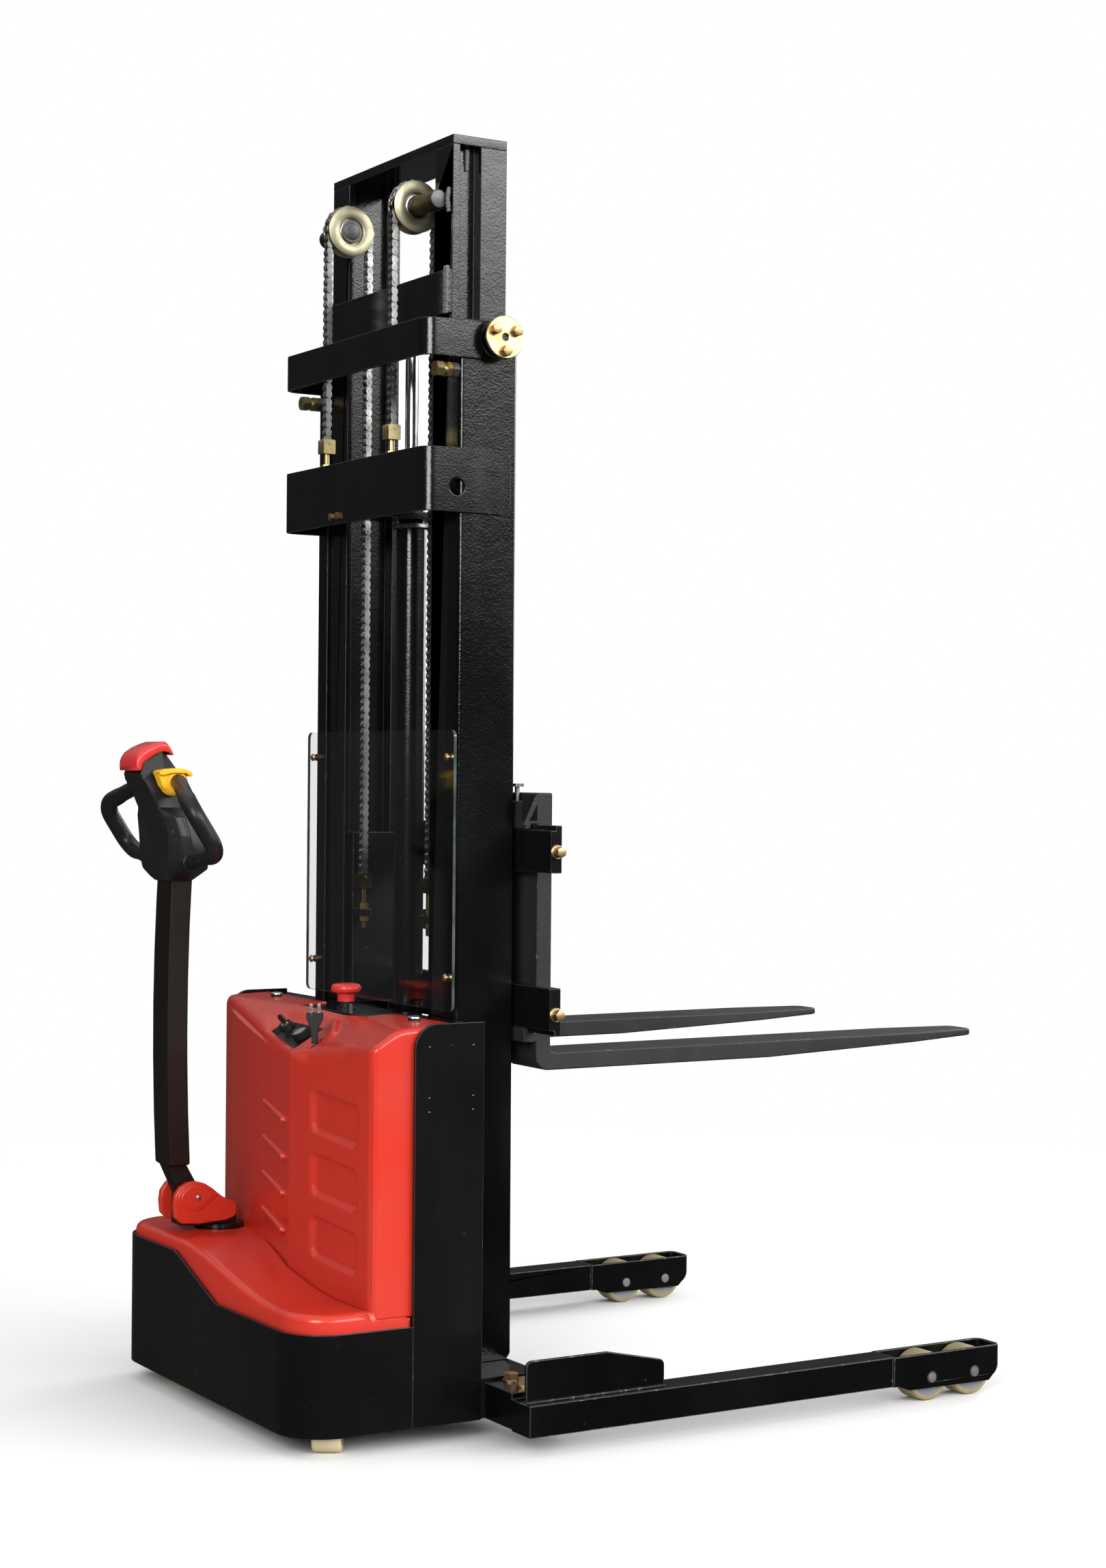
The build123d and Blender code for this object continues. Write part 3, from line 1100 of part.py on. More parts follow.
# Key switch that turns in its collar
with BuildPart() as key_switch:
    with BuildSketch(cover_left.offset(GAUGE_TALL - well_floor - WELL_FLOOR)):
        with Locations(key_place):
            Circle(KEY_RADIUS)
    extrude(amount=WELL_FLOOR)
    with BuildSketch(cover_left.offset(GAUGE_TALL - well_floor)):
        with Locations(key_place):
            Rectangle(2 * KEY_RADIUS, KEY_TURN)
    extrude(amount=KEY_TALL)
save(key_switch.part, "key_switch")

# Mushroom stop button with its stem
with BuildPart() as stop_button:
    button_low = panel_top + COLLAR_TALL + BUTTON_LIFT
    pole_z(stop_x, STOP_Y, (panel_top + BUTTON_LIFT, button_low), BUTTON_STEM)
    pole_z(stop_x, STOP_Y, (button_low, button_low + BUTTON_TALL), BUTTON_RADIUS)
    fillet(stop_button.edges().filter_by(GeomType.CIRCLE).group_by(Axis.Z)[-1], BUTTON_TALL / 2)
save(stop_button.part, "stop_button")

# Charger plug with two prongs
with BuildPart() as charger_plug:
    block(plug_x, plug_y, (PLUG_LOW, PLUG_TOP))
    for edge in (-1, 1):
        prong_y = PLUG_Y + edge * PRONG_PITCH / 2
        block((MAST_X - PLUG_BACK - PRONG_WIDE / 2, MAST_X - PLUG_BACK + PRONG_WIDE / 2),
              (prong_y - PRONG_THICK / 2, prong_y + PRONG_THICK / 2), (PLUG_TOP, PLUG_TOP + PRONG_TALL))
save(charger_plug.part, "charger_plug")

# Round screws that hold the cover
with BuildPart() as cover_knobs:
    for place in knob_places:
        with BuildSketch(cover_top):
            with Locations((place.X, place.Y)):
                Circle(KNOB_RADIUS)
        extrude(amount=KNOB_TALL)
        with BuildSketch(cover_top):
            with Locations((place.X, place.Y)):
                Circle(KNOB_STEM)
        extrude(amount=-KNOB_STEM_LONG)
save(cover_knobs.part, "cover_knobs")

# Batteries side by side on the deck
battery_x = (MAST_X - PLATE_FRONT - SPACER - BATTERY_DEEP, MAST_X - PLATE_FRONT - SPACER)
with BuildPart() as batteries:
    for side in SIDES.values():
        battery_y = (side * BATTERY_GAP / 2, side * (BATTERY_GAP / 2 + BATTERY_WIDE))
        block(battery_x, battery_y, (DECK_TOP, DECK_TOP + BATTERY_TALL))
save(batteries.part, "batteries")

# Pump unit on the tray: motor on its foot, and the tank beside it
with BuildPart() as pump_unit:
    pump_x = bulk_front + PUMP_RADIUS + SIDE_FIT
    pump_z = BASE_TOP + PUMP_FOOT + PUMP_RADIUS
    foot_span = (-PUMP_LONG * PUMP_FOOT_SPAN[1], -PUMP_LONG * PUMP_FOOT_SPAN[0])
    pole_y(pump_x, (-PUMP_LONG, 0), pump_z, PUMP_RADIUS)
    block((pump_x - PUMP_RADIUS / 2, pump_x + PUMP_RADIUS / 2), foot_span, (BASE_TOP, pump_z))
    block((bulk_front + SIDE_FIT, bulk_front + SIDE_FIT + TANK_DEEP), (0, TANK_WIDE),
          (BASE_TOP, BASE_TOP + TANK_TALL))
save(pump_unit.part, "pump_unit")

# Straddle legs: tube, open head with axles, guard plate and bolted arm
leg_top = LEG_LOW + LEG_TALL
head_mid = HEAD_OUT - HEAD_WIDE / 2
for name, side in SIDES.items():
    with BuildPart() as leg:
        leg_y = (side * (LEG_OUT - LEG_WIDE), side * LEG_OUT)
        block((MAST_X - LEG_BACK, MAST_X + HEAD_START), leg_y, (LEG_LOW, leg_top))
        block((MAST_X - LEG_BACK, MAST_X + ARM_FRONT), (side * SIDE_INNER, side * (LEG_OUT - LEG_WIDE)),
              (ARM_LOW, ARM_TOP))
        with BuildSketch(Plane.XY.offset(LEG_LOW)):
            with Locations((MAST_X + (HEAD_START + HEAD_END) / 2, side * head_mid)):
                Rectangle(HEAD_END - HEAD_START, HEAD_WIDE)
            fillet(vertices().group_by(Axis.X)[-1], HEAD_CORNER)
            with BuildSketch(Plane.XY.offset(LEG_LOW), mode=Mode.SUBTRACT):
                with Locations((MAST_X + (HEAD_START + HEAD_END) / 2, side * head_mid)):
                    Rectangle(HEAD_END - HEAD_START - 2 * HEAD_WALL, HEAD_WIDE - 2 * HEAD_WALL)
                fillet(vertices().group_by(Axis.X)[-1], HEAD_CORNER - HEAD_WALL)
        extrude(amount=LEG_TALL)
        with BuildSketch(along_y(MAST_X + HEAD_END, side * head_mid, LEG_LOW, -1)):
            Polygon((0, 0), (-HEAD_CHAMFER, 0), (0, HEAD_CHAMFER), align=None)
        extrude(amount=HEAD_WIDE, both=True, mode=Mode.SUBTRACT)
        for x in LOAD_AXLES:
            axle_y = (side * (HEAD_OUT - HEAD_WIDE), side * (HEAD_OUT + LOAD_PROUD))
            pole_y(MAST_X + x, axle_y, LOAD_RADIUS, LOAD_AXLE)
        with BuildSketch(along_y(MAST_X, side * GUARD_Y, 0, -1)):
            Polygon((-GUARD_BACK, leg_top), (GUARD_FRONT, leg_top), (GUARD_FRONT, GUARD_FRONT_TOP),
                    (GUARD_APEX, GUARD_TOP), (-GUARD_BACK, GUARD_TOP), align=None)
            fillet(vertices().filter_by(lambda v: v.Y > leg_top + SIDE_FIT), GUARD_ROUND)
        extrude(amount=GUARD_SHEET / 2, both=True)
    save(leg.part, f"leg_{name}")
    for end, x in zip(("rear", "front"), LOAD_AXLES):
        with BuildPart() as load_roller:
            half = HEAD_WIDE / 2 - HEAD_WALL - SIDE_FIT
            roller_span = (side * head_mid - half, side * head_mid + half)
            pole_y(MAST_X + x, roller_span, LOAD_RADIUS, LOAD_RADIUS)
            pole_y(MAST_X + x, roller_span, LOAD_RADIUS, LOAD_AXLE + RUN_FIT, Mode.SUBTRACT)
        save(load_roller.part, f"load_roller_{end}_{name}")

# Bolts and washers on the arms of the legs
with BuildPart() as leg_bolts:
    for side in SIDES.values():
        for y in (SIDE_HALF + LEG_BOLT_SIDE, LEG_OUT - LEG_WIDE - LEG_BOLT_LEG):
            x = MAST_X - LEG_BOLT_BACK
            pole_z(x, side * y, (ARM_TOP, ARM_TOP + LEG_WASHER_SHEET), LEG_WASHER)
            add(hexagon(along_z(x, side * y, ARM_TOP + LEG_WASHER_SHEET), LEG_BOLT_SIZE, LEG_BOLT_HEAD))
save(leg_bolts.part, "leg_bolts")

# Drive unit: yoke and motor under a neck that turns in the steering shelf
yoke_top = STEER_SHELF_LOW - ROLL_FIT
with BuildPart() as drive_unit:
    yoke_x = (STEER_X - YOKE_HALF_LONG, STEER_X + YOKE_HALF_LONG)
    block(yoke_x, (TILLER_Y - YOKE_OUTER, TILLER_Y + YOKE_OUTER), (yoke_top - YOKE_TOP_SHEET, yoke_top))
    for side in SIDES.values():
        cheek_y = (TILLER_Y + side * YOKE_INNER, TILLER_Y + side * YOKE_OUTER)
        block(yoke_x, cheek_y, (YOKE_LOW, yoke_top))
    pole_y(STEER_X, (TILLER_Y - YOKE_INNER, TILLER_Y + YOKE_INNER), DRIVE_RADIUS, DRIVE_AXLE)
    motor_y = (TILLER_Y - YOKE_OUTER - MOTOR_LONG, TILLER_Y - YOKE_OUTER)
    pole_y(STEER_X, motor_y, DRIVE_RADIUS + YOKE_SHEET, MOTOR_RADIUS)
    pole_z(STEER_X, TILLER_Y, (yoke_top, STEER_TOP), STEER_NECK)
    collar_low = STEER_SHELF_LOW + STEER_SHELF_SHEET + ROLL_FIT
    pole_z(STEER_X, TILLER_Y, (collar_low, collar_low + STEER_COLLAR_TALL), STEER_COLLAR)
save(drive_unit.part, "drive_unit")

# Drive wheel
with BuildPart() as drive_wheel:
    wheel_y = (TILLER_Y - DRIVE_WIDE / 2, TILLER_Y + DRIVE_WIDE / 2)
    pole_y(STEER_X, wheel_y, DRIVE_RADIUS, DRIVE_RADIUS)
    fillet(drive_wheel.edges().filter_by(GeomType.CIRCLE), YOKE_GAP)
    pole_y(STEER_X, wheel_y, DRIVE_RADIUS, DRIVE_AXLE + RUN_FIT, Mode.SUBTRACT)
save(drive_wheel.part, "drive_wheel")

# Tiller bracket: base, two cheeks and the pivot with its heads
with BuildPart() as tiller_bracket:
    base_x = (PIVOT_X - BRACKET_ROUND, STEER_X + BRACKET_FRONT)
    block(base_x, (TILLER_Y - EAR_INNER, TILLER_Y + EAR_INNER), (STEER_TOP, STEER_TOP + BRACKET_BASE))
    for side in SIDES.values():
        cheek_mid = TILLER_Y + side * (EAR_INNER - BRACKET_SHEET / 2)
        with BuildSketch(along_y(0, cheek_mid, 0, -1)):
            with Locations((PIVOT_X, PIVOT_Z)):
                Circle(BRACKET_ROUND)
            Polygon((base_x[0], STEER_TOP), (base_x[1], STEER_TOP),
                    (base_x[1], STEER_TOP + 2 * BRACKET_BASE), (PIVOT_X + BRACKET_ROUND, PIVOT_Z),
                    (PIVOT_X - BRACKET_ROUND, PIVOT_Z), align=None)
        extrude(amount=BRACKET_SHEET / 2, both=True)
    ear_outer = EAR_INNER + EAR_SHEET
    pole_y(PIVOT_X, (TILLER_Y - ear_outer, TILLER_Y + ear_outer), PIVOT_Z, PIVOT_RADIUS)
    for side in SIDES.values():
        head_y = (TILLER_Y + side * ear_outer, TILLER_Y + side * (ear_outer + PIVOT_HEAD_TALL))
        pole_y(PIVOT_X, head_y, PIVOT_Z, PIVOT_HEAD)
save(tiller_bracket.part, "tiller_bracket")

# Ear covers on both sides of the bracket
with BuildPart() as tiller_ear_covers:
    for side in SIDES.values():
        ear_mid = TILLER_Y + side * (EAR_INNER + EAR_SHEET / 2)
        with BuildSketch(along_y(PIVOT_X, ear_mid, 0, -1)):
            Polygon((-EAR_REAR, EAR_LOW), (EAR_FRONT, EAR_LOW), (EAR_FRONT, EAR_TAIL_TOP),
                    (EAR_REAR, EAR_TAIL_TOP), (EAR_SHOULDER, PIVOT_Z + EAR_ROUND),
                    (-EAR_REAR, PIVOT_Z + EAR_ROUND), align=None)
            fillet(vertices().group_by(Axis.Y)[-1], EAR_ROUND / 2)
            with Locations((0, PIVOT_Z)):
                Circle(PIVOT_RADIUS + SCREW_FIT, mode=Mode.SUBTRACT)
        extrude(amount=EAR_SHEET / 2, both=True)
save(tiller_ear_covers.part, "tiller_ear_covers")

# Tiller arm, bowed to the rear, with the tongue that turns on the pivot
with BuildPart() as tiller_arm:
    mid_z = (ARM_FOOT + ARM_HEAD) / 2
    with BuildSketch(along_y(ARM_X, TILLER_Y, 0, -1)):
        with BuildLine():
            half = ARM_DEEP / 2
            rear_bow = ThreePointArc((-half, ARM_FOOT), (-half - ARM_BOW, mid_z), (-half, ARM_HEAD))
            front_bow = ThreePointArc((half, ARM_FOOT), (half - ARM_BOW, mid_z), (half, ARM_HEAD))
            Line(rear_bow @ 0, front_bow @ 0)
            Line(rear_bow @ 1, front_bow @ 1)
        make_face()
    extrude(amount=ARM_WIDE / 2, both=True)
    with BuildSketch(along_y(ARM_X, TILLER_Y, 0, -1)):
        with Locations((ARM_TRAIL, PIVOT_Z)):
            Circle(BRACKET_ROUND)
        Polygon((ARM_TRAIL - BRACKET_ROUND, PIVOT_Z), (ARM_TRAIL + BRACKET_ROUND, PIVOT_Z),
                (ARM_DEEP / 2, ARM_FOOT), (-ARM_DEEP / 2, ARM_FOOT), align=None)
    extrude(amount=TONGUE_HALF, both=True)
    pole_y(PIVOT_X, (TILLER_Y - TONGUE_HALF, TILLER_Y + TONGUE_HALF), PIVOT_Z,
           PIVOT_RADIUS + RUN_FIT, Mode.SUBTRACT)
save(tiller_arm.part, "tiller_arm")

# Tiller head: bevelled body, bored for the button, with the throttle pin and two loop handles
stroke = Vector(sin(radians(CAP_LEAN)), 0, -cos(radians(CAP_LEAN)))
cap_rear, cap_front = CAP_PROFILE[0], CAP_PROFILE[-1]
stem_share = (CAP_STEM_X - cap_rear[0]) / (cap_front[0] - cap_rear[0])
stem_z = cap_rear[1] + stem_share * (cap_front[1] - cap_rear[1])
stem_plane = Plane(origin=(ARM_X + CAP_STEM_X, TILLER_Y, stem_z), x_dir=(0, 1, 0), z_dir=stroke)
with BuildPart() as tiller_head:
    with BuildSketch(along_y(ARM_X, TILLER_Y, 0, -1)):
        Polygon(*HEAD_PROFILE, align=None)
    extrude(amount=HEAD_HALF, both=True)
    chamfer(tiller_head.faces().filter_by(Axis.Y).edges(), HEAD_BEVEL)
    with BuildSketch(Plane(origin=(ARM_X, TILLER_Y, WAIST_LOW))):
        Polygon(*WAIST_PLAN, *[(x, -y) for x, y in reversed(WAIST_PLAN)], align=None)
    extrude(amount=WAIST_TALL)
    for side in SIDES.values():
        points = [(ARM_X + x, TILLER_Y + side * y, z) for x, y, z in LOOP_POINTS]
        with BuildLine():
            loop = FilletPolyline(*points, radius=LOOP_BEND)
        with BuildSketch(Plane(origin=loop @ 0, z_dir=loop % 0)):
            Circle(LOOP_RADIUS)
        sweep(path=loop)
        for tip in (points[0], points[-1]):
            pole_y(tip[0], (tip[1] - side * LOOP_HUB, tip[1] + side * LOOP_HUB / 2), tip[2], LOOP_HUB)
    block((ARM_X - ARM_DEEP / 2 - SIDE_FIT, ARM_X + ARM_DEEP / 2),
          (TILLER_Y - ARM_WIDE / 2, TILLER_Y + ARM_WIDE / 2),
          (ARM_HEAD - ARM_SEAT, ARM_HEAD), Mode.SUBTRACT)
    with BuildSketch(stem_plane):
        Circle(CAP_STEM + RUN_FIT)
    extrude(amount=CAP_STEM_LONG + CAP_GAP, mode=Mode.SUBTRACT)
save(tiller_head.part, "tiller_head")

# Belly button: moulded cap on a stem that slides into the head
with BuildPart() as belly_button:
    with BuildSketch(along_y(ARM_X, TILLER_Y, 0, -1)):
        Polygon(*CAP_PROFILE, align=None)
    extrude(amount=CAP_HALF, both=True)
    with BuildSketch(stem_plane):
        Circle(CAP_STEM)
    extrude(amount=CAP_STEM_LONG)
save(belly_button.part, "belly_button")

# Thumb throttle: a ring with a paddle on the root of each loop handle
with BuildPart() as throttle:
    throttle_x = ARM_X + LOOP_POINTS[0][0]
    throttle_z = LOOP_POINTS[0][2]
    paddle_low = throttle_z + LOOP_RADIUS + HOOK_FIT
    for side in SIDES.values():
        inner = TILLER_Y + side * (HEAD_HALF + SIDE_FIT)
        hub_y = (inner, inner + side * THROTTLE_HUB_LONG)
        pole_y(throttle_x, hub_y, throttle_z, THROTTLE_HUB)
        block((throttle_x - THROTTLE_WING / 2, throttle_x + THROTTLE_WING / 2),
              (inner, inner + side * THROTTLE_LONG), (paddle_low, paddle_low + THROTTLE_THICK))
        pole_y(throttle_x, hub_y, throttle_z, LOOP_RADIUS + RUN_FIT, Mode.SUBTRACT)
save(throttle.part, "throttle")

# Caster: fork with its stem in the shelf, and the wheel that trails behind it
heading = Vector(cos(radians(CASTER_HEADING)), sin(radians(CASTER_HEADING)), 0)
caster_x = MAST_X - CASTER_X_BACK
caster_plane = Plane(origin=(caster_x, CASTER_Y, 0), x_dir=heading, z_dir=(0, 0, 1))
crown_top = CASTER_SHELF_LOW - ROLL_FIT
with BuildPart() as caster_fork:
    cheek_at = CASTER_WIDE / 2 + CASTER_GAP + CASTER_SHEET / 2
    with BuildSketch(caster_plane.offset(crown_top - CASTER_CROWN_TALL)):
        Circle(CASTER_CROWN)
        Rectangle(CASTER_CROWN, 2 * cheek_at + CASTER_SHEET)
    extrude(amount=CASTER_CROWN_TALL)
    for side in SIDES.values():
        cheek_plane = Plane(origin=caster_plane.from_local_coords(Vector(0, side * cheek_at, 0)),
                            x_dir=heading, z_dir=caster_plane.y_dir * -1)
        with BuildSketch(cheek_plane):
            Polygon((CASTER_CROWN / 2, crown_top), (-CASTER_CROWN / 2, crown_top),
                    (-CASTER_TRAIL - 2 * CASTER_AXLE, CASTER_RADIUS - CASTER_AXLE),
                    (-CASTER_TRAIL + 2 * CASTER_AXLE, CASTER_RADIUS - CASTER_AXLE), align=None)
        extrude(amount=CASTER_SHEET / 2, both=True)
    pole_z(caster_x, CASTER_Y, (crown_top, CASTER_SHELF_LOW + TRAY_SHEET + ROLL_FIT), CASTER_STEM)
    nut_low = CASTER_SHELF_LOW + TRAY_SHEET + ROLL_FIT
    pole_z(caster_x, CASTER_Y, (nut_low, nut_low + CASTER_CROWN_TALL), CASTER_NUT)
    axle_plane = Plane(origin=caster_plane.from_local_coords(Vector(-CASTER_TRAIL, 0, CASTER_RADIUS)),
                       x_dir=heading, z_dir=caster_plane.y_dir)
    with BuildSketch(axle_plane):
        Circle(CASTER_AXLE)
    extrude(amount=cheek_at, both=True)
save(caster_fork.part, "caster_fork")

with BuildPart() as caster_wheel:
    with BuildSketch(axle_plane):
        Circle(CASTER_RADIUS)
        Circle(CASTER_AXLE + RUN_FIT, mode=Mode.SUBTRACT)
    extrude(amount=CASTER_WIDE / 2, both=True)
save(caster_wheel.part, "caster_wheel")
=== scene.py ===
# %% [markdown]
# # An electric stacker, dressed
# A pedestrian stacker lifts pallets: a battery truck with a two-stage chain mast, hook-on forks and two
# straddle legs, steered by a tiller. The imported CAD model is the skeleton, and this lesson gives it its looks.
# Every dressed piece but the straight chain strands rides on a body of the skeleton, so the mast still lifts and
# the tiller still tilts.

# %% The frame
import json
import math

import bmesh
import bpy
from mathutils import Matrix, Vector

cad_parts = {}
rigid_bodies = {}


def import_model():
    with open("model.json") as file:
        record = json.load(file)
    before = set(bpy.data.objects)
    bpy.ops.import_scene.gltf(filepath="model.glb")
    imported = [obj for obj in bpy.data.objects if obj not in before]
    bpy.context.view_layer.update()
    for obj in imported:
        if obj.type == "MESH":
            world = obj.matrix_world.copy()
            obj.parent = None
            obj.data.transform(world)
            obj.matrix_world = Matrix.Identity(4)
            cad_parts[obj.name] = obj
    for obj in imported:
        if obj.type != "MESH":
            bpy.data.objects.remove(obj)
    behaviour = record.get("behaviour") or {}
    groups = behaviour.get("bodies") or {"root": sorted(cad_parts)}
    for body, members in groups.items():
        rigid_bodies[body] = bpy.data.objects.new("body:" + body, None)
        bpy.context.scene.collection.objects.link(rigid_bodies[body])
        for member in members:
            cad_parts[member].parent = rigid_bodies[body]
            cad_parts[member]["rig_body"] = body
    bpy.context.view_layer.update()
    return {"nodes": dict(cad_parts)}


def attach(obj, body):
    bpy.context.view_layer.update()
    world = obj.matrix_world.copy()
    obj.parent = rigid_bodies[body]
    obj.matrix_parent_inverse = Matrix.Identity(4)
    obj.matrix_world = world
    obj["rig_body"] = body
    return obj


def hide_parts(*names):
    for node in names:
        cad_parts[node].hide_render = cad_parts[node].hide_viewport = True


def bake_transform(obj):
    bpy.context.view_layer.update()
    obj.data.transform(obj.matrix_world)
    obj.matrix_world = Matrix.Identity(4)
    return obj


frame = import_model()
scene = bpy.context.scene
MM = 0.001
MAST = Vector((-0.2835, 0.0, 0.0))
SIDES = {"left": 1, "right": -1}
BOTH = tuple(SIDES.values())
X, Y, Z = (Vector(way) for way in ((1, 0, 0), (0, 1, 0), (0, 0, 1)))
FACING_X, FACING_Y = (Y, Z, X), (X, Z, Y)


def at(x, y, z):
    """A point in millimetres, counted from the middle of the mast, as a drawing would give it."""
    return MAST + MM * Vector((x, y, z))


def show(name, data):
    """A new object in the scene."""
    made = bpy.data.objects.new(name, data)
    scene.collection.objects.link(made)
    return made


# %% [markdown]
# ## Camera
# The photograph was taken from the right rear at about the height of the chest. Straight edges of the mast and
# the legs give the place of the eye and the focal length, counted in pixels of a 1619 by 2296 picture.

# %% Camera
PICTURE_TALL = 2296
FOCAL_PIXELS = 3874.471
SENSOR = 36.0
eye = Vector((-2.3753, -3.9019, 1.0301))
yaw, pitch, roll = (math.radians(angle) for angle in (31.2707, -0.194, 0.508))
ahead = Vector((math.sin(yaw) * math.cos(pitch), math.cos(yaw) * math.cos(pitch), math.sin(pitch)))
level = Vector((math.cos(yaw), -math.sin(yaw), 0.0))
upright = level.cross(ahead)
right = math.cos(roll) * level + math.sin(roll) * upright
above = math.cos(roll) * upright - math.sin(roll) * level
camera = show("camera", bpy.data.cameras.new("camera"))
camera.data.sensor_width = SENSOR
camera.data.lens = SENSOR * FOCAL_PIXELS / PICTURE_TALL
camera.matrix_world = Matrix.Translation(eye) @ Matrix((right, above, -ahead)).transposed().to_4x4()
scene.camera = camera
scene.view_settings.view_transform = "Standard"
print("lens", round(camera.data.lens, 2), "mm")

# %% [markdown]
# ## Finishes as expressions
# A finish is a node tree. Wrapping a socket in a small class lets the maths be written as Python, so that
# `1 - worn * dust` adds its own Math nodes. Every other node comes from one method, which takes the node's
# type, its settings and its sockets.


# %% Trees as calls
class Link:
    """A socket that takes part in sums."""

    def __init__(self, tree, socket):
        self.tree = tree
        self.socket = socket

    def sum(self, operation, first, second):
        return self.tree.node("ShaderNodeMath", {"operation": operation}, {0: first, 1: second})

    def __add__(self, other):
        return self.sum("ADD", self, other)

    def __sub__(self, other):
        return self.sum("SUBTRACT", self, other)

    def __rsub__(self, other):
        return self.sum("SUBTRACT", other, self)

    def __mul__(self, other):
        return self.sum("MULTIPLY", self, other)

    __radd__ = __add__
    __rmul__ = __mul__


class Tree:
    """A node tree whose nodes are written as calls."""

    def plug(self, socket, value):
        """Links a socket to one result or to a list of them, or gives it a plain value."""
        sources = value if isinstance(value, list) else [value]
        if isinstance(sources[0], Link):
            for source in sources:
                self.tree.links.new(source.socket, socket)
        else:
            socket.default_value = value

    def node(self, kind, settings=None, sockets=None, result=0):
        node = self.tree.nodes.new(kind)
        for label, value in (settings or {}).items():
            setattr(node, label, value)
        for label, value in (sockets or {}).items():
            self.plug(node.inputs[label], value)
        return Link(self, node.outputs[result])


print("sockets can be summed")


# %% Finishes
class Finish(Tree):
    """A material, written as calls."""

    def __init__(self, name, **inputs):
        self.begin(bpy.data.materials.new(name), "ShaderNodeOutputMaterial", "ShaderNodeBsdfPrincipled")
        self.feed(**inputs)

    def begin(self, block, output, shader):
        self.block = block
        self.block.use_nodes = True
        self.tree = self.block.node_tree
        self.tree.nodes.clear()
        self.output = self.tree.nodes.new(output)
        self.shader = self.tree.nodes.new(shader)
        self.tree.links.new(self.shader.outputs[0], self.output.inputs[0])

    def feed(self, **inputs):
        for label, value in inputs.items():
            self.plug(self.shader.inputs[label.replace("_", " ")], value)
        return self.block

    def place(self, stretch):
        where = self.node("ShaderNodeTexCoord", result="Object")
        return self.node("ShaderNodeMapping", None, {"Vector": where, "Scale": stretch})

    def cloud(self, scale, detail=2.0, stretch=(1, 1, 1), roughness=0.5):
        return self.node("ShaderNodeTexNoise", None, {"Vector": self.place(stretch), "Scale": scale,
                                                      "Detail": detail, "Roughness": roughness})

    def step(self, value, low, high, bottom=0.0, top=1.0):
        return self.node("ShaderNodeMapRange", {"clamp": True},
                         {0: value, 1: low, 2: high, 3: bottom, 4: top})

    def blend(self, share, first, second):
        return self.node("ShaderNodeMix", {"data_type": "RGBA"}, {0: share, 6: first, 7: second}, result=2)

    def bump(self, height, strength, distance):
        return self.node("ShaderNodeBump", None, {"Height": height, "Strength": strength,
                                                  "Distance": distance * MM})


def tint(red, green, blue):
    """A colour read as screen values, turned into light."""
    values = [v / 255 for v in (red, green, blue)]
    return (*[v / 12.92 if v < 0.04045 else ((v + 0.055) / 1.055) ** 2.4 for v in values], 1.0)


def shifted(colour, gain, lift=0.0):
    """A lighter or darker neighbour of a colour."""
    return (*[value * gain + lift for value in colour[:3]], 1.0)


print("finishes are ready to mix")

# %% [markdown]
# ## Paint and plastics
# The steel is sprayed black over mill scale: glossy, with an orange peel of three or four millimetres, dulled
# in clouds by dust, and scuffed to grey in small specks. Its edges are rubbed, and every bevelled edge takes a
# second, lighter finish: partly that wear, partly a painted highlight. The covers are moulded in glass fibre
# with a red gel coat.


# %% Sprayed steel
def sprayed(name, colour, scuffed, gloss=0.13, peel=0.22, scuffs=0.7, shine=0.5):
    """Sprayed paint with an orange peel, clouds of dust, scuffs and vertical streaks of painted reflection."""
    finish = Finish(name, Specular_IOR_Level=shine)
    dust = finish.step(finish.cloud(4.0, 5.0), 0.38, 0.72)
    scuff = finish.step(finish.cloud(95.0, 6.0, roughness=0.62), scuffs, scuffs + 0.05)
    # Vertical streaks lighten the paint: a painted reflection.
    sheen_stripes = finish.step(finish.cloud(14.0, 4.0, (1, 1, 0.12)), 0.52, 0.75)
    shade = finish.blend(dust * 0.5 + sheen_stripes * 0.3, colour, shifted(colour, 1.7, 0.002))
    peeled = finish.cloud(290.0, 1.5)
    waves = finish.cloud(28.0, 2.0)
    return finish.feed(Base_Color=finish.blend(scuff * 0.7, shade, scuffed),
                       Roughness=gloss + 0.07 * dust + 0.05 * sheen_stripes + 0.25 * scuff,
                       Normal=finish.bump(peeled + 1.5 * waves - 0.5 * scuff, peel, 0.8))


black_paint = sprayed("black_paint", tint(10, 10, 10), tint(70, 67, 64))
# A darker, duller copy of the black paint for the outer rails, legs and leg cheeks: its darker colour is painted
# shade.
rail_shade_paint = sprayed("rail_shade_paint", tint(5, 5, 5), tint(70, 67, 64), gloss=0.15, peel=0.3, shine=0.38)
carriage_paint = sprayed("carriage_paint", tint(13, 13, 14), tint(74, 71, 68), gloss=0.18)
# The tiller arm's paint is tinted brown as a painted warm reflection.
arm_reflection_paint = sprayed("arm_reflection_paint", tint(22, 17, 13), tint(74, 66, 58), gloss=0.36, scuffs=0.74, shine=0.25)
fork_paint = sprayed("fork_paint", tint(40, 40, 43), tint(104, 102, 99), gloss=0.46, peel=0.35, shine=0.25)
# The two edge finishes are lighter than the paint: partly rubbed wear, partly a painted highlight on every
# bevelled edge.
edge_wear_and_highlight = sprayed("edge_wear_and_highlight", tint(34, 33, 33), tint(96, 93, 90), gloss=0.36, scuffs=0.6, shine=0.4)
leg_wear_and_highlight = sprayed("leg_wear_and_highlight", tint(38, 36, 35), tint(128, 120, 110), gloss=0.4, scuffs=0.57, shine=0.4)
print("paints from", black_paint.name, "to", leg_wear_and_highlight.name)


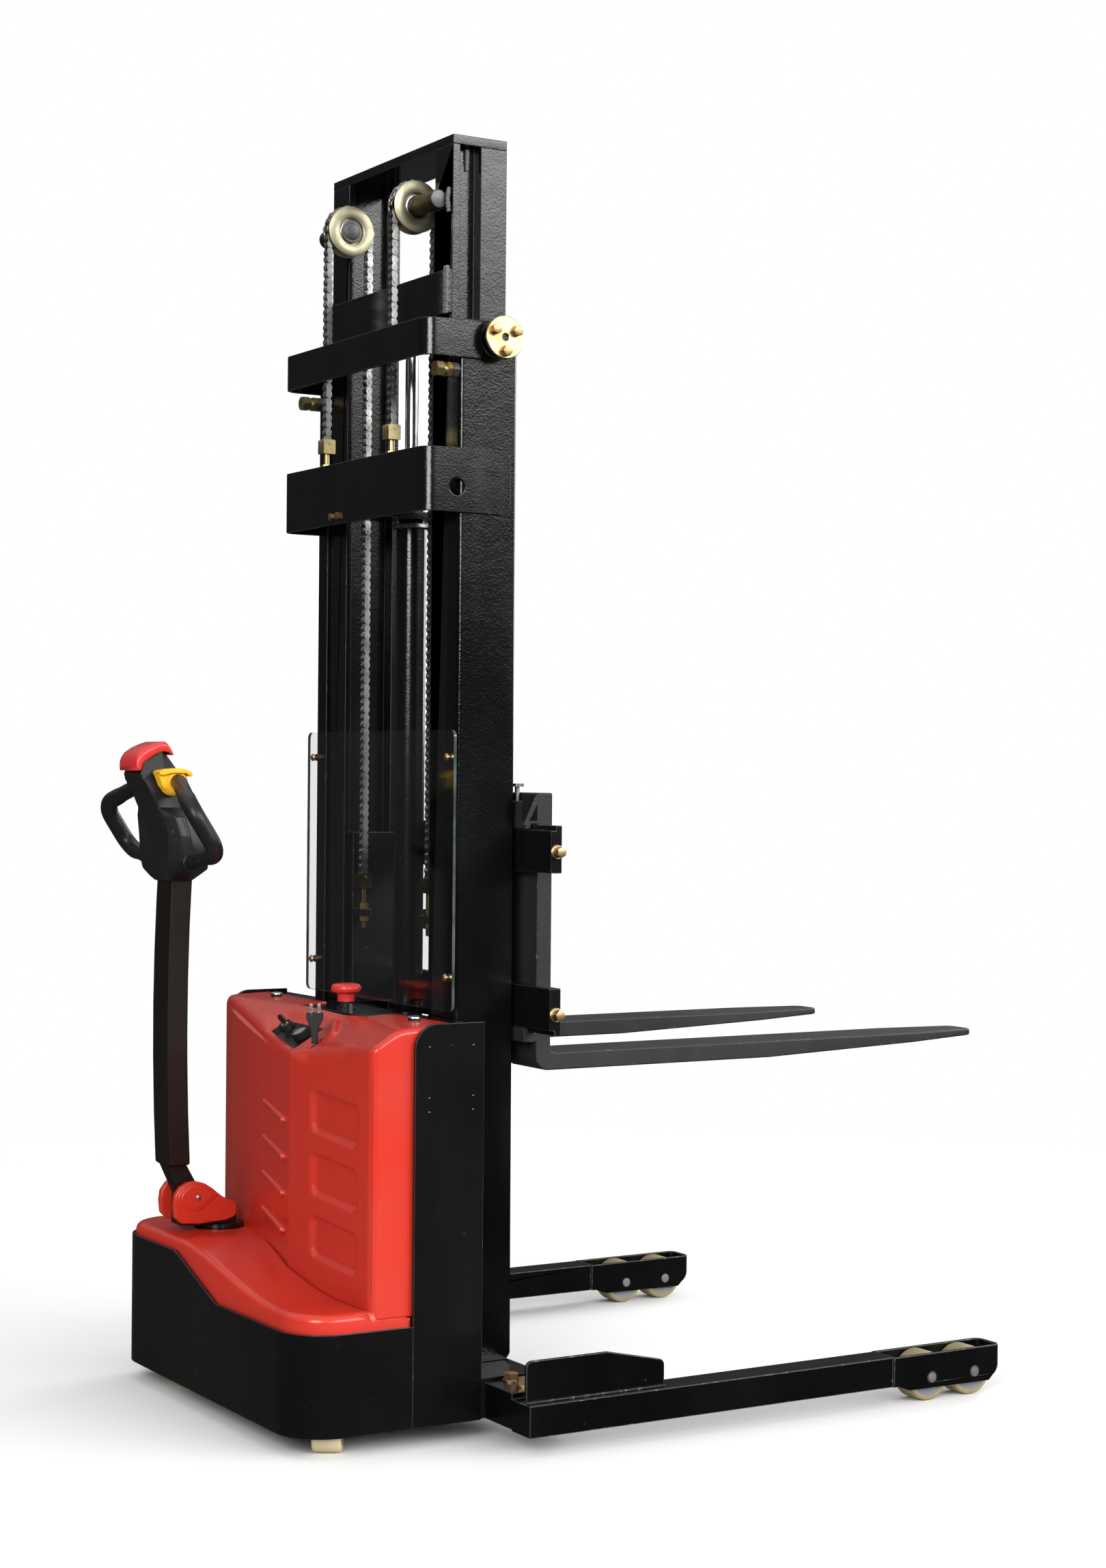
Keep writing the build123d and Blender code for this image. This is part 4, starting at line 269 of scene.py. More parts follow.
# %% Red gel coat
def moulded_red(name, colour, gloss):
    """Glass fibre with a red gel coat, wavy under the gloss."""
    finish = Finish(name, Specular_IOR_Level=0.42, Coat_Weight=0.25, Coat_Roughness=0.12)
    dust = finish.step(finish.cloud(6.0, 5.0), 0.4, 0.75)
    grime = finish.step(finish.cloud(60.0, 6.0, roughness=0.65), 0.66, 0.76)
    shade = finish.blend(dust * 0.35, colour, shifted(colour, 0.82, 0.012))
    waves = finish.cloud(22.0, 2.0)
    grain = finish.cloud(420.0, 1.0)
    return finish.feed(Base_Color=finish.blend(grime * 0.35, shade, tint(92, 30, 26)),
                       Roughness=gloss + 0.12 * dust + 0.15 * grime,
                       Normal=finish.bump(waves * 2.0 + grain * 0.25, 0.2, 0.8))


red_shell = moulded_red("red_shell", tint(197, 48, 33), 0.26)
red_cap = moulded_red("red_cap", tint(219, 54, 52), 0.34)
print("gel coats", red_shell.name, red_cap.name)


# %% Plastics and rubber
def moulded(name, colour, gloss, grain_scale, grain, shine=0.35):
    """Injection-moulded plastic with a fine spark-eroded grain and a few rubbed patches."""
    finish = Finish(name, Specular_IOR_Level=shine)
    rubbed = finish.step(finish.cloud(18.0, 4.0), 0.5, 0.75)
    speck = finish.step(finish.cloud(220.0, 3.0), 0.68, 0.74)
    shade = finish.blend(rubbed * 0.5, colour, shifted(colour, 1.35, 0.004))
    return finish.feed(Base_Color=finish.blend(speck * 0.25, shade, tint(150, 140, 128)),
                       Roughness=gloss - 0.12 * rubbed + 0.1 * speck,
                       Normal=finish.bump(finish.cloud(grain_scale, 2.0), grain, 0.4))


black_plastic = moulded("black_plastic", tint(30, 30, 31), 0.45, 900.0, 0.35)
grip_plastic = moulded("grip_plastic", tint(27, 27, 28), 0.36, 1200.0, 0.2)
yellow_plastic = moulded("yellow_plastic", tint(255, 190, 40), 0.42, 900.0, 0.18)
battery_case = moulded("battery_case", tint(58, 60, 64), 0.5, 700.0, 0.3)
cream_tread = moulded("cream_tread", tint(196, 182, 146), 0.48, 300.0, 0.3)
roller_tread = moulded("roller_tread", tint(146, 132, 98), 0.5, 300.0, 0.3)
wheel_core = moulded("wheel_core", tint(104, 108, 112), 0.45, 500.0, 0.2)
gauge_glass = moulded("gauge_glass", tint(120, 126, 128), 0.14, 60.0, 0.02, 0.6)
weld_steel = moulded("weld_steel", tint(112, 110, 106), 0.3, 260.0, 0.6, 0.7)
print("plastics from", black_plastic.name, "to", gauge_glass.name)

# %% [markdown]
# ## Bare and plated metal
# The fasteners, the chain wheels and the anchors are zinc plated and passivated yellow, which shimmers from
# straw to copper. The chain is oiled steel, the rod is hard chrome, and the axles are ground bright.


# %% Metals
def plated(name, straw, copper, gloss, brushed=0.2):
    """Metal under a thin film whose colour drifts."""
    finish = Finish(name, Metallic=1.0)
    drift = finish.step(finish.cloud(38.0, 4.0), 0.34, 0.68)
    stain = finish.step(finish.cloud(150.0, 5.0, roughness=0.6), 0.6, 0.75)
    shade = finish.blend(drift, straw, copper)
    return finish.feed(Base_Color=finish.blend(stain * 0.45, shade, shifted(copper, 0.35)),
                       Roughness=gloss + 0.1 * drift + 0.2 * stain,
                       Normal=finish.bump(finish.cloud(500.0, 2.0, (1, 1, 0.2)), brushed, 0.2))


yellow_zinc = plated("yellow_zinc", tint(214, 204, 152), tint(190, 164, 108), 0.34)
wheel_zinc = plated("wheel_zinc", tint(204, 201, 174), tint(182, 175, 142), 0.42)
copper_zinc = plated("copper_zinc", tint(204, 176, 136), tint(172, 136, 98), 0.36)
# A darkened zinc; on the chain wheels' axle stubs its darkness is painted shade.
darkened_zinc = plated("darkened_zinc", tint(104, 92, 60), tint(70, 58, 38), 0.42)
bright_steel = plated("bright_steel", tint(206, 206, 204), tint(170, 170, 168), 0.24)
cut_steel = plated("cut_steel", tint(172, 172, 170), tint(140, 138, 134), 0.42)
sawn_steel = plated("sawn_steel", tint(126, 126, 126), tint(100, 100, 102), 0.55)
chain_steel = plated("chain_steel", tint(168, 168, 166), tint(118, 116, 114), 0.3)
chrome_rod = plated("chrome_rod", tint(224, 226, 228), tint(206, 208, 212), 0.09, 0.05)
print("metals from", yellow_zinc.name, "to", chrome_rod.name)

# %% Clear sheet and its edge
clear = Finish("clear_sheet")
film = clear.node("ShaderNodeBsdfGlossy", None, {"Color": tint(236, 240, 240), "Roughness": 0.06})
through = clear.node("ShaderNodeBsdfTransparent", None, {"Color": tint(250, 251, 251)})
glance = clear.node("ShaderNodeLayerWeight", None, {"Blend": 0.3}, result="Facing")
haze = clear.step(clear.cloud(9.0, 5.0), 0.45, 0.8, 0.0, 0.02)
mixed = clear.node("ShaderNodeMixShader", None, {0: 0.03 + 0.12 * glance + haze, 1: through, 2: film})
clear.plug(clear.output.inputs[0], mixed)
clear_sheet = clear.block
edge = Finish("sheet_edge", Roughness=0.12, Specular_IOR_Level=0.6)
glints = edge.step(edge.cloud(20.0), 0.4, 0.7)
sheet_edge = edge.feed(Base_Color=edge.blend(glints, tint(52, 60, 58), tint(92, 102, 100)))
print("finishes mixed:", len(bpy.data.materials))

# %% [markdown]
# ## Floor and light
# The photograph is cut out on white, so the floor is a pale round sheet that fades out towards its rim, and
# the sky is white where the camera looks. The truck stood beside a bright wall: its right flank shines, and
# most at the mast's top, while the rear faces stay deep black. A sky that is bright on the right and above,
# and dark behind on the left, gives that.

# %% Floor
FLOOR_RADIUS, FADE_START, FADE_END = 3.4, 1.3, 3.2
pale = Finish("pale_floor", Specular_IOR_Level=0.1)
spot = pale.node("ShaderNodeTexCoord", result="Object")
reach = pale.node("ShaderNodeVectorMath", {"operation": "LENGTH"}, {0: spot}, result="Value")
pale.feed(Base_Color=pale.blend(pale.cloud(3.0, 3.0), tint(246, 246, 246), tint(249, 249, 249)),
          Roughness=0.8, Alpha=1 - pale.step(reach, FADE_START, FADE_END))
form = bmesh.new()
bmesh.ops.create_circle(form, cap_ends=True, segments=96, radius=FLOOR_RADIUS)
floor_mesh = bpy.data.meshes.new("floor")
form.to_mesh(floor_mesh)
form.free()
floor_mesh.materials.append(pale.block)
floor = show("floor", floor_mesh)
floor.visible_glossy = False
print("floor of", FLOOR_RADIUS, "m")


# %% Sky
class Sky(Finish):
    """The world's light, written in the same way as a finish."""

    def __init__(self, name):
        self.begin(bpy.data.worlds.new(name), "ShaderNodeOutputWorld", "ShaderNodeBackground")

    def towards(self, way, low, high, top):
        """Light that swells from nothing to its full strength as the view turns towards a direction."""
        where = self.node("ShaderNodeTexCoord", result="Generated")
        share = self.node("ShaderNodeVectorMath", {"operation": "DOT_PRODUCT"}, {0: where, 1: way},
                          result="Value")
        return self.node("ShaderNodeMapRange", {"interpolation_type": "SMOOTHSTEP"},
                         {0: share, 1: low, 2: high, 3: 0.0, 4: top})


TO_WALL = (0.52, -0.855, 0)
sky = Sky("studio")
wall = sky.towards(TO_WALL, 0.6, 0.92, 1.0) * sky.towards(Z, 0.1, 0.31, 9.4)
wall = wall * (1 - sky.towards(Z, 0.36, 0.6, 1.0))
glow = 0.05 + sky.towards(Z, 0.15, 0.9, 0.8) + wall
seen = sky.node("ShaderNodeLightPath", result="Is Camera Ray")
scene.world = sky.feed(Color=(1, 1, 1, 1), Strength=seen + (1 - seen) * glow)
print("sky of", len(sky.tree.nodes), "nodes")


# %% Lamps
def lamp(name, place, aim, size, power):
    """A square soft box, aimed at a point."""
    light = show(name, bpy.data.lights.new(name, "AREA"))
    light.data.size = size
    light.data.energy = power
    light.location = place
    light.rotation_mode = "QUATERNION"
    light.rotation_quaternion = (Vector(aim) - Vector(place)).to_track_quat("-Z", "Y")


lamp("key", (-4.3, -4.1, 2.8), (-0.3, 0.0, 0.7), 2.4, 225.0)
lamp("fill", (4.4, 1.6, 2.4), (-0.2, 0.2, 0.9), 2.6, 90.0)
print("lamps", len(bpy.data.lights))

# %% [markdown]
# ## Shapes
# Most of the machine is cut and folded plate, which the CAD already gives, but with edges sharper than any
# real edge. A copy of such a part has its loose triangles merged, its flat faces joined, and a bevel along
# every edge that takes the lighter edge finish, partly rubbed wear and partly a painted highlight. The other
# helpers turn a profile on an axis, stretch an outline into a plate, and put a finished mesh on its body.


# %% Meshes on bodies
def mesh_of(name, form):
    """The mesh of a bmesh, with its normals outward."""
    bmesh.ops.recalc_face_normals(form, faces=form.faces)
    mesh = bpy.data.meshes.new(name)
    form.to_mesh(mesh)
    form.free()
    return mesh


def dress(name, mesh, finishes, body, slot, stands_for=None, sharp=38.0):
    """Gives a mesh its finishes and sets it on its body; given more than one body, it leaves the mesh fixed in
    place.
    """
    mesh.name = name
    if mesh.materials:
        mesh.materials.clear()
    for finish in finishes:
        mesh.materials.append(finish)
    mesh.shade_smooth()
    if sharp:
        mesh.set_sharp_from_angle(angle=math.radians(sharp))
    made = show(name, mesh)
    if isinstance(body, str):
        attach(made, body)
    else:
        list(body)
        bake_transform(made)
    if stands_for:
        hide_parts(stands_for)
    print(name, len(mesh.polygons), "faces")
    return made


def piece(name, form, *rest, **more):
    """Makes a piece of a bmesh."""
    return dress(name, mesh_of(name, form), *rest, **more)


def bevelled(made, width, segments=2, angle=35.0, finish=-1):
    """A live bevel, with normals that keep flat faces flat."""
    bevel = made.modifiers.new("bevel", "BEVEL")
    bevel.width = width * MM
    bevel.segments = segments
    bevel.limit_method = "ANGLE"
    bevel.angle_limit = math.radians(angle)
    bevel.use_clamp_overlap = False
    bevel.material = finish
    flat = made.modifiers.new("flat", "WEIGHTED_NORMAL")
    flat.keep_sharp = True


def walled(made, thickness):
    """A live wall on the inner side of a sheet."""
    wall = made.modifiers.new("wall", "SOLIDIFY")
    wall.thickness = thickness * MM
    wall.offset = -1.0


def soften(node, finish, edge=None, width=1.0, slot="black_paint"):
    """A copy of a CAD part with joined faces and rounded edges, rubbed and lighter as a painted highlight."""
    source = frame["nodes"][node]
    form = bmesh.new()
    form.from_mesh(source.data)
    bmesh.ops.remove_doubles(form, verts=form.verts, dist=1e-5)
    bmesh.ops.dissolve_limit(form, angle_limit=math.radians(0.6), verts=form.verts, edges=form.edges)
    form.verts.index_update()
    points = [vert.co.copy() for vert in form.verts]
    faces = [[vert.index for vert in face.verts] for face in form.faces]
    form.free()
    mesh = bpy.data.meshes.new(node)
    mesh.from_pydata(points, [], faces)
    made = dress(node + "_form", mesh, [finish, edge or finish], source["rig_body"], slot, node, None)
    bevelled(made, width, finish=1 if edge else -1)


print("meshes can be dressed")


# %% Shapes from profiles
def across(axis):
    """Two directions square to an axis."""
    axis = axis.normalized()
    side = axis.cross(Z if abs(axis.z) < 0.9 else X).normalized()
    return side, axis.cross(side).normalized()


def skin(form, rings, finish=0, start=0):
    """Faces between rings of corners, or between open rows when it starts at their second corner."""
    for low, high in zip(rings, rings[1:]):
        for k in range(start, len(low)):
            corners = list(dict.fromkeys((low[k - 1], low[k], high[k], high[k - 1])))
            if len(corners) > 2:
                form.faces.new(corners).material_index = finish


def close(form, rings, finish=0):
    """Faces over the first ring and the last."""
    for ring in (rings[0], rings[-1]):
        form.faces.new(ring).material_index = finish


def sheet(form, rows, finish=0):
    """Faces between rows of points."""
    skin(form, [[form.verts.new(point) for point in row] for row in rows], finish, 1)


def turn(form, profile, centre, axis, steps=40, finish=0, closed=False):
    """Turns (radius, reach) pairs in millimetres round an axis."""
    axis = axis.normalized()
    side, up = across(axis)
    angles = [2 * math.pi * k / steps for k in range(steps)]
    rings = []
    for radius, reach in profile:
        middle = centre + MM * reach * axis
        if radius:
            spokes = [math.cos(a) * side + math.sin(a) * up for a in angles]
            rings.append([form.verts.new(middle + MM * radius * spoke) for spoke in spokes])
        else:
            rings.append([form.verts.new(middle)] * steps)
    skin(form, rings + rings[:1] if closed else rings, finish)


def plate(form, outline, centre, axes, depth, finish=0):
    """Stretches an outline of (u, v) millimetres along the third axis, evenly to both sides."""
    u, v, w = axes
    ends = []
    for reach in (-depth / 2, depth / 2):
        ends.append([form.verts.new(centre + MM * (a * u + b * v + reach * w)) for a, b in outline])
    close(form, ends, finish)
    skin(form, ends, finish)


def mirrored(half):
    """Corners and, on the way back, the same corners with their second value turned round."""
    return half + [(first, -second, *rest) for first, second, *rest in reversed(half)]


print("profiles can be turned and stretched")

# %% [markdown]
# ## Plate work
# Rails, bands, plates, legs, carriage and forks keep their CAD shape and get softened edges. Rolled rails have
# rounder edges than cut plate, and the forks are forged, so their edges are rounder still. The outer corners
# of the rails are rolled to a broad radius, and two plates are trimmed to what the photograph shows.

# %% Plate work
PLATE_WORK = {
    "outer_rail_left": 1.6, "outer_rail_right": 1.6, "inner_rail_left": 1.2, "inner_rail_right": 1.2,
    "upper_band": 1.2, "lower_band": 1.2, "inner_ties": 1.0, "lift_cylinder": 1.0, "skirt": 1.0,
    "side_plate_left": 1.0, "side_plate_right": 1.0, "top_panel": 1.0, "leg_left": 1.6, "leg_right": 1.6,
    "tiller_bracket": 1.2, "caster_fork": 1.0, "base_frame": 0.8,
}
for node, width in PLATE_WORK.items():
    paint = rail_shade_paint if node.startswith(("outer_rail", "leg")) else black_paint
    soften(node, paint, leg_wear_and_highlight if node.startswith("leg") else edge_wear_and_highlight, width)
soften("tiller_arm", arm_reflection_paint, None, 4.0)
soften("carriage_frame", carriage_paint, edge_wear_and_highlight, 1.2, "carriage_paint")
for name in SIDES:
    soften(f"fork_{name}", fork_paint, edge_wear_and_highlight, 2.5, "fork_paint")

# %% Rolled corners and trims
RAIL_CORNER, RAIL_FACE, RAIL_EDGE, RAIL_LONG = (MM * size for size in (9.0, 252.5, 52.2, 500.0))
for name, side in SIDES.items():
    mesh = bpy.data.objects[f"outer_rail_{name}_form"].data
    form = bmesh.new()
    form.from_mesh(mesh)
    corners = []
    for edge in form.edges:
        spots = [vert.co for vert in edge.verts]
        outside = all(side * spot.y > RAIL_FACE and abs(spot.x - MAST.x) > RAIL_EDGE for spot in spots)
        if outside and abs(spots[0].z - spots[1].z) > RAIL_LONG:
            corners.append(edge)
    bmesh.ops.bevel(form, geom=corners, offset=RAIL_CORNER, segments=6, profile=0.5, affect="EDGES",
                    material=0)
    form.to_mesh(mesh)
    form.free()
    print(f"outer_rail_{name}", len(corners), "corners rolled")
ARM = (-335.0, 205.0)
BRACKET_HALF, PLATE_REAR, PLATE_SHIFT = 36.0, -130.0, 10.5
for vert in bpy.data.objects["side_plate_left_form"].data.vertices:
    if vert.co.x < MAST.x + MM * PLATE_REAR:
        vert.co.x += MM * PLATE_SHIFT
for vert in bpy.data.objects["tiller_bracket_form"].data.vertices:
    vert.co.y = min(max(vert.co.y, MM * (ARM[1] - BRACKET_HALF)), MM * (ARM[1] + BRACKET_HALF))
print("side plate moved by", PLATE_SHIFT, "mm, bracket cut to", 2 * BRACKET_HALF, "mm")

# %% [markdown]
# ## Repeating parts by node trees
# Bolts, chain links and weld ripples repeat, so Geometry Nodes place them. A tree is written as calls too. The
# host mesh gives the places, the tree puts an instance on each, and the realised result becomes a plain mesh.


# %% Growers
class Grower(Tree):
    """A geometry node tree with named inputs."""

    def __init__(self, name, **inputs):
        self.tree = bpy.data.node_groups.new(name, "GeometryNodeTree")
        panel = self.tree.interface
        for label, kind in {"Geometry": "Geometry", **inputs, "Finish": "Material"}.items():
            panel.new_socket(label, in_out="INPUT", socket_type=f"NodeSocket{kind}")
        panel.new_socket("Geometry", in_out="OUTPUT", socket_type="NodeSocketGeometry")
        sockets = self.tree.nodes.new("NodeGroupInput").outputs
        self.given = {socket.name: Link(self, socket) for socket in sockets}
        self.result = self.tree.nodes.new("NodeGroupOutput")

    def end(self, points, instance, **sockets):
        """Ends the tree with an instance on each point."""
        self.finish(self.node("GeometryNodeInstanceOnPoints", None,
                              {"Points": points, "Instance": instance, **sockets}))

    def finish(self, instances):
        solid = self.node("GeometryNodeRealizeInstances", None, {0: instances})
        finished = self.node("GeometryNodeSetMaterial", None,
                             {"Geometry": solid, "Material": self.given["Finish"]})
        self.plug(self.result.inputs[0], finished)

    def part(self, label):
        """The shape of an object that is one of the inputs."""
        return self.node("GeometryNodeObjectInfo", None, {"Object": self.given[label]}, result="Geometry")

    def grow(self, name, points, edges=(), facing=None, **values):
        """The tree's result on a host of points and edges, as a plain mesh."""
        mesh = bpy.data.meshes.new(name + "_host")
        mesh.from_pydata(points, edges, [])
        if facing:
            attribute = mesh.attributes.new("facing", "FLOAT_VECTOR", "POINT")
            attribute.data.foreach_set("vector", [value for way in facing for value in way])
        host = show(name + "_host", mesh)
        modifier = host.modifiers.new("grow", "NODES")
        modifier.node_group = self.tree
        for item in self.tree.interface.items_tree:
            if item.in_out == "INPUT" and item.name in values:
                modifier[item.identifier] = values[item.name]
        bpy.context.view_layer.update()
        grown = host.evaluated_get(bpy.context.evaluated_depsgraph_get())
        result = bpy.data.meshes.new_from_object(grown)
        bpy.data.objects.remove(host)
        return result


print("growers ready")

# %% Tree for bolt heads
studs = Grower("studs", Head="Object", Seed="Int")
twist = studs.node("FunctionNodeRandomValue", {"data_type": "FLOAT"},
                   {2: 0.0, 3: math.pi, "Seed": studs.given["Seed"]}, result=1)
way = studs.node("GeometryNodeInputNamedAttribute", {"data_type": "FLOAT_VECTOR"}, {"Name": "facing"})
aimed = studs.node("FunctionNodeAlignRotationToVector", {"axis": "Z"}, {"Vector": way})
spun = studs.node("FunctionNodeAxisAngleToRotation", None, {"Axis": Z, "Angle": twist})
turned = studs.node("FunctionNodeRotateRotation", {"rotation_space": "LOCAL"},
                    {"Rotation": aimed, "Rotate By": spun})
spots = studs.node("GeometryNodeMeshToPoints", None, {"Mesh": studs.given["Geometry"]})
studs.end(spots, studs.part("Head"), Rotation=turned)
print("tree", studs.tree.name, "of", len(studs.tree.nodes), "nodes")

# %% Tree for chain links
links = Grower("links", Outer="Object", Inner="Object", First="Int")
run = links.node("GeometryNodeMeshToCurve", None, {"Mesh": links.given["Geometry"]})
along = links.node("FunctionNodeAlignRotationToVector", {"axis": "X", "pivot_axis": "Y"},
                   {"Vector": links.node("GeometryNodeInputTangent")})
count = links.node("FunctionNodeIntegerMath", {"operation": "ADD"},
                   {0: links.node("GeometryNodeInputIndex"), 1: links.given["First"]})
odd = links.node("FunctionNodeIntegerMath", {"operation": "MODULO"}, {0: count, 1: 2})
even = links.node("FunctionNodeIntegerMath", {"operation": "SUBTRACT"}, {0: 1, 1: odd})
rows = []
for label, chosen in (("Outer", even), ("Inner", odd)):
    rows.append(links.node("GeometryNodeInstanceOnPoints", None,
                           {"Points": run, "Selection": chosen, "Instance": links.part(label),
                            "Rotation": along}))
links.finish(links.node("GeometryNodeJoinGeometry", None, {0: rows}))
print("tree", links.tree.name, "of", len(links.tree.nodes), "nodes")

# %% Trees for weld beads and plain copies
beads = Grower("beads", Pitch="Float", Width="Float", Seed="Int")
seam = beads.node("GeometryNodeResampleCurve", {"mode": "LENGTH"},
                  {"Curve": beads.node("GeometryNodeMeshToCurve", None, {"Mesh": beads.given["Geometry"]}),
                   "Length": beads.given["Pitch"]})
drop = beads.node("GeometryNodeMeshUVSphere", None, {"Segments": 10, "Rings": 6, "Radius": 1.0})
lie = beads.node("FunctionNodeAlignRotationToVector", {"axis": "X"},
                 {"Vector": beads.node("GeometryNodeInputTangent")})
swell = beads.node("FunctionNodeRandomValue", {"data_type": "FLOAT"},
                   {2: 0.4, 3: 0.56, "Seed": beads.given["Seed"]}, result=1)
girth = swell * beads.given["Width"]
scale = beads.node("ShaderNodeCombineXYZ", None, {0: beads.given["Pitch"], 1: girth, 2: girth})
beads.end(seam, drop, Rotation=lie, Scale=scale)

copies = Grower("copies", Part="Object")
spots = copies.node("GeometryNodeMeshToPoints", None, {"Mesh": copies.given["Geometry"]})
copies.end(spots, copies.part("Part"))
print("trees", beads.tree.name, copies.tree.name)


# %% Bolt heads
def sample(name, form):
    """A small part that a tree repeats; it isn't in the scene itself."""
    return bpy.data.objects.new(name, mesh_of(name, form))


def hexagon(form, centre, axis, flat, tall, finish=0, hollow=0.0):
    """A six-sided bar with chamfered corners, as nuts and heads have; flat is half the key's width."""
    side, up = across(axis)
    corner = flat / math.cos(math.pi / 6)
    dip = 0.6 * (corner - flat)
    chamfer, full = [0.96 * flat] * 12, [corner, flat] * 6
    levels = [(chamfer, [0] * 12), (full, [dip, 0] * 6),
              (full, [tall - dip, tall] * 6), (chamfer, [tall] * 12)]
    if hollow:
        levels += [([hollow] * 12, [height] * 12) for height in (tall, 0.3 * tall)]
    rings = []
    for reaches, heights in levels:
        ring = []
        for k, (reach, height) in enumerate(zip(reaches, heights)):
            angle = math.pi * k / 6
            spot = height * axis + reach * (math.cos(angle) * side + math.sin(angle) * up)
            ring.append(form.verts.new(centre + MM * spot))
        rings.append(ring)
    skin(form, rings, finish)
    close(form, rings, finish)


def bolt_head(name, flat, tall, washer=0.0, thick=0.0):
    """A hexagon head on a washer, along Z."""
    form = bmesh.new()
    if washer:
        rim = [(washer, 0), (washer, 0.75 * thick), (washer - 0.6, thick)]
        turn(form, [(0, 0), *rim, (0, thick)], Vector(), Z, 20)
    hexagon(form, MM * thick * Z, Z, flat, tall)
    return sample(name, form)


def heads(name, head, spots, seed, body="chassis", stands_for=None):
    """Bolt heads on pairs of a place and a direction."""
    places, ways = zip(*spots)
    mesh = studs.grow(name, places, facing=ways, Head=head, Seed=seed, Finish=copper_zinc)
    dress(name, mesh, [copper_zinc], body, "yellow_zinc", stands_for)


cap_bolt = bolt_head("cap_bolt", 7.5, 9.0)
leg_bolt = bolt_head("leg_bolt", 10.5, 10.0, 13.0, 3.0)
stop_bolt = bolt_head("stop_bolt", 7.4, 8.0, 8.4, 5.0)
band_bolt = bolt_head("band_bolt", 5.6, 5.0)
print("heads", cap_bolt.name, leg_bolt.name, stop_bolt.name, band_bolt.name)

# %% [markdown]
# ## Chains
# Each lifting chain hangs from an anchor on the lower band, runs up behind the mast, over its wheel, and down
# to the carriage. A roller chain alternates outer links, with pins, and inner links, with rollers. The wraps
# ride on the inner mast, but the straight strands are left fixed where they are drawn, though the chain pays out
# as the mast lifts.

# %% Chain links
CHAIN_Y, LINK_PITCH, PLATE_TALL, PLATE_THICK = 117.0, 12.66, 11.8, 1.6


def eight(form, y):
    """One side plate of a link, waisted like an eight."""
    half = PLATE_TALL / 2
    outline = []
    for end in (1, -1):
        for angle in (-105, -63, -21, 21, 63, 105):
            a = math.radians(angle)
            outline.append((end * (LINK_PITCH / 2 + half * math.cos(a)), end * half * math.sin(a)))
        outline.append((0.0, end * 0.66 * half))
    plate(form, outline, MM * y * Y, FACING_Y, PLATE_THICK)


def link(name, plate_y, bar, steps):
    """Two side plates and the two round bars between them."""
    form = bmesh.new()
    for side in BOTH:
        eight(form, side * plate_y)
    for side in BOTH:
        turn(form, bar, MM * side * LINK_PITCH / 2 * X, Y, steps)
    return sample(name, form)


outer_link = link("outer_link", 6.4, [(0, -7.9), (2.2, -7.9), (2.2, 7.9), (0, 7.9)], 6)
inner_link = link("inner_link", 4.7, [(4.2, -3.8), (4.2, 3.8)], 8)
print("links", outer_link.name, inner_link.name)

# %% Chain runs
WHEEL_X, WHEEL_Z, CHAIN_RADIUS = -65.5, 1946.5, 38.0
BACK_X, FRONT_X = WHEEL_X - CHAIN_RADIUS, WHEEL_X + CHAIN_RADIUS
BACK_END, FRONT_END = 1592.0, 860.0
BACK_LINKS, WRAP_LINKS, FRONT_LINKS = 28, 9, 86


def straight(x, low, high, count):
    """Middles of the links of a straight run."""
    return [(x, low + (high - low) * (k + 0.5) / count) for k in range(count)]


def wrapped(count):
    """Middles of the links that lie on the wheel."""
    turns = [math.pi * (1 - (k + 0.5) / count) for k in range(count)]
    return [(WHEEL_X + CHAIN_RADIUS * math.cos(a), WHEEL_Z + CHAIN_RADIUS * math.sin(a)) for a in turns]


def strung(lines):
    """The points of lines of corners, and the edges that join them."""
    points, edges = [], []
    for line in lines:
        start = len(points)
        points += [at(*corner) for corner in line]
        edges += [(k, k + 1) for k in range(start, len(points) - 1)]
    return points, edges


def hung(body, low_end):
    """The ends of a strand: a body at its low end, and the inner mast at the wheel."""
    return body, "inner_mast", at(0, 0, low_end), at(0, 0, WHEEL_Z)


RUNS = {
    "chain_back_strands": (straight(BACK_X, BACK_END, WHEEL_Z, BACK_LINKS), hung("chassis", BACK_END)),
    "chain_wraps": (wrapped(WRAP_LINKS), "inner_mast"),
    "chain_front_strands": (straight(FRONT_X, WHEEL_Z, FRONT_END, FRONT_LINKS), hung("carriage", FRONT_END)),
}
first = 0
for node, (middles, body) in RUNS.items():
    points, edges = strung([[(x, side * CHAIN_Y, z) for x, z in middles] for side in BOTH])
    mesh = links.grow(node + "_links", points, edges, Outer=outer_link, Inner=inner_link, First=first,
                      Finish=chain_steel)
    dress(node + "_links", mesh, [chain_steel], body, "chain_steel", node)
    first += len(middles)

# %% [markdown]
# ## Chain wheels and axles
# The wheels are turned from bar and zinc plated, with a recess round a pressed-in bearing. A turned part is a
# profile spun on its axis. The axle's ends are left bare where the saw cut them.

# %% Chain wheels
RIM = [(20.0, 5.4), (22.0, 5.4), (22.6, 11.2), (23.4, 11.8), (40.6, 12.0), (42.0, 11.0), (42.0, 9.9),
       (40.8, 9.0), (31.0, 8.8)]
BEARING = [(15.1, 8.6), (16.4, 9.2), (19.0, 9.2), (19.9, 8.6)]
form = bmesh.new()
for side in BOTH:
    hub = at(WHEEL_X, side * CHAIN_Y, WHEEL_Z)
    turn(form, mirrored(RIM), hub, Y, 72, closed=True)
    turn(form, mirrored(BEARING), hub, Y, 48, 1, closed=True)
piece("chain_wheel_rims", form, [wheel_zinc, bright_steel], "chain_wheels", "yellow_zinc", "chain_wheels")

